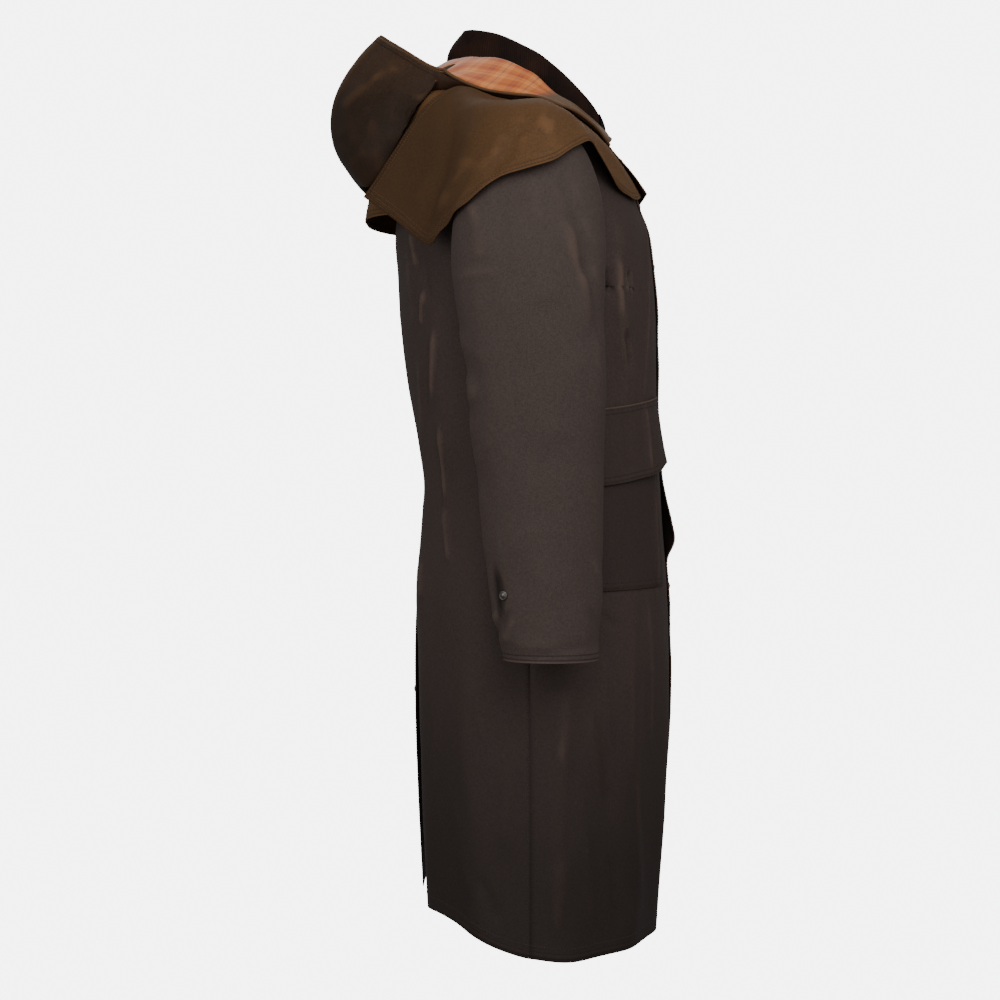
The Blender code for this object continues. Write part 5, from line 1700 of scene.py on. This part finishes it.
def thread(name, colour):
    make = Finish(name)
    place = make.add("TexCoord").outputs["Object"]
    fibres = make.noise(place, 1500.0, 2.0)
    make.link(make.mix(fibres, rgba(colour, 0.6), rgba(colour)), "Base Color")
    make.set(Roughness=0.7, Specular_IOR_Level=0.2)
    return make.material


def make_finishes():
    tones = bpy.context.scene.coat_colours
    waxed_cotton("waxed_body", tones.body_dark, tones.body_base, tones.body_worn, 0.40)
    # The sleeves' cloth is the body's, painted lighter as a lit copy.
    waxed_cotton("waxed_sleeve_lit_copy", tones.sleeve_dark_lit_copy, tones.sleeve_base_lit_copy, tones.body_worn, 0.40)
    waxed_cotton("waxed_cape", tones.cape_dark, tones.cape_base, tones.cape_worn, 0.42)
    # The hood's cloth is the cape's, painted darker as a shaded copy.
    waxed_cotton("waxed_hood_shaded_copy", tones.hood_dark_shaded_copy, tones.hood_base_shaded_copy, tones.hood_worn_shaded_copy, 0.36)
    corduroy("collar_corduroy", tones.corduroy_dark, tones.corduroy_base)
    plaid("hood_plaid", tones.plaid_ground, tones.plaid_light, tones.plaid_rust, tones.plaid_slate,
          tones.cape_base)
    worn_metal("stud_metal", tones.metal)
    thread("thread_body", tones.thread_body)
    thread("thread_cape", tones.thread_cape)


# Settings

def coat_sizes():
    return bpy.context.scene.coat_sizes


def size(name, description, default, **more):
    return bpy.props.FloatProperty(
        name=name, description=description, default=default, subtype="DISTANCE", unit="LENGTH",
        precision=5, **more,
    )


def tone(name, description, default):
    return bpy.props.FloatVectorProperty(
        name=name, description=description, default=default, subtype="COLOR", size=3, min=0.0, max=1.0
    )


class CoatSizes(bpy.types.PropertyGroup):
    """Sizes of the coat's finer shapes."""

    crumple_height: size("Crumple height", "Relief of the worn cloth", 0.0008)
    crease_share: bpy.props.FloatProperty(
        name="Crease share", description="How deep the crease lines are", default=1.0,
        subtype="FACTOR", min=0.0, max=2.0,
    )
    stitch_pitch: size("Stitch pitch", "Distance from one stitch to the next", 0.0042)
    stitch_length: size("Stitch length", "Length of one stitch", 0.0031)
    stitch_radius: size("Stitch radius", "Half the thread's thickness", 0.00032)
    wale_pitch: size("Wale pitch", "Distance between the collar's ribs", 0.0029)
    wale_height: size("Wale height", "How far the collar's ribs stand out", 0.0006)
    stud_radius: size("Stud radius", "Radius of a snap cap", 0.0062)


class CoatColours(bpy.types.PropertyGroup):
    """Colours of the coat's finishes."""

    body_dark: tone("Body dark", "Waxed cloth in its dark patches", (0.0150, 0.0106, 0.0094))
    body_base: tone("Body base", "Waxed cloth of the body", (0.0275, 0.0190, 0.0167))
    # Sleeve colours: the body's cloth painted lighter, a lit copy that paints the light falling on the
    # sleeves.
    sleeve_dark_lit_copy: tone("Sleeve dark", "Sleeve cloth in its dark patches", (0.0200, 0.0146, 0.0129))
    sleeve_base_lit_copy: tone("Sleeve base", "Waxed cloth of the sleeves", (0.0312, 0.0228, 0.0200))
    body_worn: tone("Body worn", "Waxed cloth where it is rubbed", (0.080, 0.050, 0.038))
    cape_dark: tone("Cape dark", "Cape and hood cloth in their dark patches", (0.0310, 0.0158, 0.0070))
    cape_base: tone("Cape base", "Waxed cloth of the cape and hood", (0.0620, 0.0300, 0.0108))
    cape_worn: tone("Cape worn", "Cape and hood cloth where it is rubbed", (0.105, 0.050, 0.021))
    # Hood colours: the cape's cloth painted darker, a shaded copy that paints the shade on the hood.
    hood_dark_shaded_copy: tone("Hood dark", "Hood cloth in its dark patches", (0.0090, 0.0058, 0.0044))
    hood_base_shaded_copy: tone("Hood base", "Waxed cloth of the hood", (0.0235, 0.0112, 0.0052))
    hood_worn_shaded_copy: tone("Hood worn", "Hood cloth where it is rubbed", (0.085, 0.043, 0.019))
    # Corduroy dark is the pile's darker clouds and the painted shade between the wales; corduroy base also
    # gives the painted highlight on the wales' tops.
    corduroy_dark: tone("Corduroy dark", "Between the wales", (0.0018, 0.0006, 0.0003))
    corduroy_base: tone("Corduroy base", "On the wales", (0.0130, 0.0042, 0.0019))
    plaid_ground: tone("Plaid ground", "Ground of the lining", (0.30, 0.076, 0.012))
    plaid_light: tone("Plaid light", "Light band of the lining", (0.42, 0.140, 0.031))
    plaid_rust: tone("Plaid rust", "Rust band of the lining", (0.23, 0.035, 0.005))
    plaid_slate: tone("Plaid slate", "Thin line of the lining", (0.12, 0.070, 0.052))
    metal: tone("Metal", "Snap studs", (0.11, 0.10, 0.09))
    thread_body: tone("Body thread", "Thread of the body's seams", (0.045, 0.033, 0.026))
    thread_cape: tone("Cape thread", "Thread of the cape and hood", (0.095, 0.055, 0.028))


# Operators

class COAT_OT_body(bpy.types.Operator):
    """Build the fronts and backs"""

    bl_idname = "coat.body"
    bl_label = "Fronts and backs"

    def execute(self, context):
        for name, grid in body_shapes().items():
            centre = "first_column" if name in ("front_right", "back_left") else "last_column"
            sides = ("first_row", centre) if name.startswith("back") else ("first_row",)
            # Painted shade, darker towards the hem.
            low = SKIRT_SHADE * soft_step((SKIRT_SHADE_TOP - grid[..., 2]) / SKIRT_SHADE_REACH)
            cloth_piece(f"{name}_cloth", grid, "waxed_body", stitched=sides, painted_shade_and_darkening=low, replaced=name)
        return {"FINISHED"}


class COAT_OT_sleeves(bpy.types.Operator):
    """Build both sleeves"""

    bl_idname = "coat.sleeves"
    bl_label = "Sleeves"

    def execute(self, context):
        for hand, grid in sleeve_shapes().items():
            # Painted shade of the cuff slit's gap, a dark line on the outward side of the sleeve.
            painted_shade_and_darkening = crease_lines(grid[..., 0], grid[..., 2], SLIT_ROWS)
            painted_shade_and_darkening = np.clip(painted_shade_and_darkening, 0.0, 1.0) * (np.abs(grid[..., 1]) > SLIT_OUT)
            cloth_piece(f"sleeve_{hand}_cloth", grid, "waxed_sleeve_lit_copy", wrap=True, stitched=("last_row",),
                        painted_shade_and_darkening=painted_shade_and_darkening, replaced=f"sleeve_{hand}")
        return {"FINISHED"}


class COAT_OT_storm_flap(bpy.types.Operator):
    """Build the storm flap over the front closing"""

    bl_idname = "coat.storm_flap"
    bl_label = "Storm flap"

    def execute(self, context):
        cloth_piece("storm_flap_cloth", flap_shape(), "waxed_body", FLAP_WALL,
                    stitched=("first_row", "first_column", "last_column"), replaced="storm_flap")
        return {"FINISHED"}


class COAT_OT_pockets(bpy.types.Operator):
    """Build the patch pockets and their flaps"""

    bl_idname = "coat.pockets"
    bl_label = "Pockets"

    def execute(self, context):
        for name, grid in pocket_shapes().items():
            is_flap = "flap" in name
            wall = WALL if is_flap else PATCH_WALL
            sides = ("first_row", "last_row", "first_column", "last_column")
            # Painted shade on the pockets and their flaps.
            painted_shade_and_darkening = np.full(grid.shape[:2], POCKET_FLAP_SHADE if is_flap else POCKET_SHADE)
            cloth_piece(f"{name}_cloth", grid, "waxed_body", wall, stitched=sides, painted_shade_and_darkening=painted_shade_and_darkening,
                        replaced=name)
        return {"FINISHED"}


class COAT_OT_cape(bpy.types.Operator):
    """Build the shoulder cape's halves and the loose yoke flap under them"""

    bl_idname = "coat.cape"
    bl_label = "Cape and yoke flap"

    def execute(self, context):
        cloth_piece("back_yoke_cloth", yoke_shape(), "waxed_cape", stitched=("first_row",),
                    replaced="back_yoke")
        for hand, grid in cape_shapes().items():
            sides = ("first_row", "first_column", "last_column")
            # Painted shade towards the back of the cape.
            painted_shade_at_back = CAPE_SHADE * soft_step((CAPE_SHADE_FROM - grid[..., 0]) / CAPE_SHADE_REACH)
            cloth_piece(f"cape_{hand}_cloth", grid, "waxed_cape", stitched=sides, painted_shade_and_darkening=painted_shade_at_back,
                        replaced=f"cape_{hand}")
        return {"FINISHED"}


class COAT_OT_collar(bpy.types.Operator):
    """Build the corduroy collar"""

    bl_idname = "coat.collar"
    bl_label = "Collar"

    def execute(self, context):
        grid = collar_shape()
        turns = np.linspace(COLLAR_START, COLLAR_END, FINE_COLLAR_COLUMNS)
        # Darker lapping end of the collar.
        end = soft_step((turns - COLLAR_LAP_FULL) / 3.0)[None, :] * COLLAR_END_DARKENING
        end = np.broadcast_to(end, grid.shape[:2])
        cloth_piece("collar_cloth", grid, "collar_corduroy", COLLAR_WALL, painted_shade_and_darkening=end,
                    replaced="collar")
        return {"FINISHED"}


class COAT_OT_hood(bpy.types.Operator):
    """Build the thrown-back hood, its lining and its rolled edge"""

    bl_idname = "coat.hood"
    bl_label = "Hood"

    def execute(self, context):
        shapes = hood_shapes()
        # Painted shade on the lower hood.
        low = HOOD_SHADE * soft_step((HOOD_SHADE_FROM - shapes["shell"][..., 2]) / HOOD_SHADE_REACH)
        cloth_piece("hood_cloth", shapes["shell"], "waxed_hood_shaded_copy", outer=-1, stitched=("first_row",),
                    painted_shade_and_darkening=low, replaced="hood")
        turns = hood_turns_fine()
        throat = soft_step((HOOD_FACING_TURN - np.minimum(turns, 360.0 - turns)) / 8.0)
        facing = np.broadcast_to(throat[None, :], shapes["lining"].shape[:2])
        cloth_piece("hood_lining_cloth", shapes["lining"], "hood_plaid", PATCH_WALL, painted_shade_and_darkening=facing,
                    replaced="hood_lining")
        for hand, grid in side_fold_shapes().items():
            cloth_piece(f"hood_side_fold_{hand}", grid, "waxed_hood_shaded_copy")
        tube_piece("hood_edge_cloth", shapes["edge"], HOOD_EDGE_RADIUS, shapes["beyond"],
                   shapes["facing"], "waxed_hood_shaded_copy", "hood_edge")
        return {"FINISHED"}


class COAT_OT_studs(bpy.types.Operator):
    """Build the snap studs: a turned cap with a raised rim, on each CAD stud's own place"""

    bl_idname = "coat.studs"
    bl_label = "Snap studs"

    def execute(self, context):
        for name in sorted(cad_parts):
            if name.startswith("stud_"):
                stud_piece(name)
        return {"FINISHED"}


def stud_piece(name):
    """A profile turned round the CAD stud's axis, which is where its points spread least."""
    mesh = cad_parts[name].data
    flat = np.empty(len(mesh.vertices) * 3, np.float32)
    mesh.vertices.foreach_get("co", flat)
    points = np.unique(flat.reshape(-1, 3).astype(float).round(5), axis=0)
    centre = points.mean(axis=0)
    axis = np.linalg.svd(points - centre)[2][2]
    heights = (points - centre) @ axis
    if (heights > np.median(heights) + 1e-4).sum() > (heights < np.median(heights) - 1e-4).sum():
        axis, heights = -axis, -heights
    wide = np.linalg.norm(points - centre - heights[:, None] * axis, axis=1)
    low_side = wide[heights < heights.mean()].max() < wide[heights > heights.mean()].max()
    if low_side:
        axis, heights = -axis, -heights
    base = centre + axis * heights.min()
    profile = np.array(STUD_PROFILE) * np.array((coat_sizes().stud_radius, 0.001))
    turn = np.arange(STUD_TURNS) * 2 * np.pi / STUD_TURNS
    first = unit(np.cross(axis, (0.31, 0.87, 0.39)))
    second = np.cross(axis, first)
    ring = np.cos(turn)[:, None] * first + np.sin(turn)[:, None] * second
    grid = base + profile[:, 0, None, None] * ring[None] + profile[:, 1, None, None] * axis
    return ringed_piece(name + "_cap", grid, "stud_metal", name)


class COAT_OT_stitching(bpy.types.Operator):
    """Sew the stitch rows along hems, edges and seams"""

    bl_idname = "coat.stitching"
    bl_label = "Stitching"

    def execute(self, context):
        near, far = SEAM_LINES
        bodies = body_shapes()
        lines = []
        for name, grid in bodies.items():
            lines.append(line_at(grid, "first_row", BODY_HEM_LINE, WALL))
            if name.startswith("back"):
                centre = "first_column" if name == "back_left" else "last_column"
                side = "last_column" if name == "back_left" else "first_column"
                lines += [line_at(grid, centre, near, WALL), line_at(grid, side, near, WALL, 0.0, 0.6)]
        stitching("stitching_body", lines, "thread_body")
        lines = []
        for grid in sleeve_shapes().values():
            closed = np.concatenate((grid, grid[:, :1]), axis=1)
            lines.append(line_at(closed, "last_row", CUFF_HEM_LINE, WALL))
            lines.append(line_at(closed, "first_row", near, WALL))
        stitching("stitching_sleeves", lines, "thread_body")
        flap = flap_shape()
        lines = [line_at(flap, side, gap, FLAP_WALL) for side in ("first_column", "last_column")
                 for gap in (near, far)]
        for name, grid in pocket_shapes().items():
            wall = WALL if "flap" in name else PATCH_WALL
            sides = ("last_row", "first_row", "first_column", "last_column")
            lines += [line_at(grid, side, gap, wall) for side in sides for gap in (near, far)]
        stitching("stitching_pockets_and_flap", lines, "thread_body")
        lines = []
        for grid in cape_shapes().values():
            lines += [line_at(grid, side, gap, WALL) for gap in (near, far)
                      for side in ("first_row", "first_column", "last_column")]
            lines.append(line_at(grid, "first_row", CAPE_HEM_LINE, WALL, 0.35, 1.0))
        yoke = yoke_shape()
        lines += [line_at(yoke, "first_row", gap, WALL) for gap in YOKE_HEM_LINES]
        stitching("stitching_cape", lines, "thread_cape")
        shell = hood_shapes()["shell"][:, ::-1]
        centre = shell.shape[1] // 2
        down = shell[6:, centre - 1:centre + 2]
        lines = [line_at(shell, "first_row", near, 0.0), line_at(down, "first_column", 0.0004, 0.0)]
        stitching("stitching_hood", lines, "thread_cape")
        return {"FINISHED"}


class COAT_OT_stage(bpy.types.Operator):
    """Set the white backdrop, the lights and the camera"""

    bl_idname = "coat.stage"
    bl_label = "Studio"

    def execute(self, context):
        world = bpy.data.worlds.new("studio")
        world.use_nodes = True
        tree = world.node_tree
        background = tree.nodes["Background"]
        background.inputs[0].default_value = (1.0, 1.0, 1.0, 1.0)
        seen = tree.nodes.new("ShaderNodeLightPath").outputs["Is Camera Ray"]
        strength = tree.nodes.new("ShaderNodeMath")
        strength.operation = "MULTIPLY_ADD"
        strength.inputs[1].default_value = BACKDROP_STRENGTH - WORLD_STRENGTH
        strength.inputs[2].default_value = WORLD_STRENGTH
        tree.links.new(seen, strength.inputs[0])
        tree.links.new(strength.outputs[0], background.inputs[1])
        bpy.context.scene.world = world
        for name, place, target, wide, power in LIGHT_ROWS:
            lamp = bpy.data.lights.new(name, "AREA")
            lamp.shape, lamp.size, lamp.energy = "SQUARE", wide, power
            holder = bpy.data.objects.new(name, lamp)
            bpy.context.scene.collection.objects.link(holder)
            holder.location = place
            holder.rotation_euler = (Vector(target) - Vector(place)).to_track_quat("-Z", "Y").to_euler()
        lens = bpy.data.cameras.new("photo_camera")
        lens.sensor_width, lens.lens = 36.0, CAMERA_LENS
        lens.clip_end = 50.0
        camera = bpy.data.objects.new("photo_camera", lens)
        bpy.context.scene.collection.objects.link(camera)
        camera.location = CAMERA_PLACE
        way = Vector(CAMERA_TARGET) - Vector(CAMERA_PLACE)
        camera.rotation_euler = way.to_track_quat("-Z", "Y").to_euler()
        bpy.context.scene.camera = camera
        return {"FINISHED"}


class COAT_PT_panel(bpy.types.Panel):
    """Sizes, colours and building steps of the coat"""

    bl_idname = "COAT_PT_panel"
    bl_label = "Duster coat"
    bl_space_type = "VIEW_3D"
    bl_region_type = "UI"
    bl_category = "Coat"

    def draw(self, context):
        for group in (context.scene.coat_sizes, context.scene.coat_colours):
            box = self.layout.box()
            for name in group.__annotations__:
                box.prop(group, name)
        for operator in OPERATORS:
            self.layout.operator(operator.bl_idname)


OPERATORS = (
    COAT_OT_body, COAT_OT_sleeves, COAT_OT_storm_flap, COAT_OT_pockets, COAT_OT_cape,
    COAT_OT_collar, COAT_OT_hood, COAT_OT_studs, COAT_OT_stitching, COAT_OT_stage,
)
CLASSES = (CoatSizes, CoatColours, *OPERATORS, COAT_PT_panel)


def register():
    for made in CLASSES:
        bpy.utils.register_class(made)
    bpy.types.Scene.coat_sizes = bpy.props.PointerProperty(type=CoatSizes)
    bpy.types.Scene.coat_colours = bpy.props.PointerProperty(type=CoatColours)


def unregister():
    del bpy.types.Scene.coat_colours
    del bpy.types.Scene.coat_sizes
    for made in reversed(CLASSES):
        bpy.utils.unregister_class(made)


def main():
    register()
    make_finishes()
    for operator in OPERATORS:
        group, name = operator.bl_idname.split(".")
        getattr(getattr(bpy.ops, group), name)()


if __name__ == "__main__":
    main()
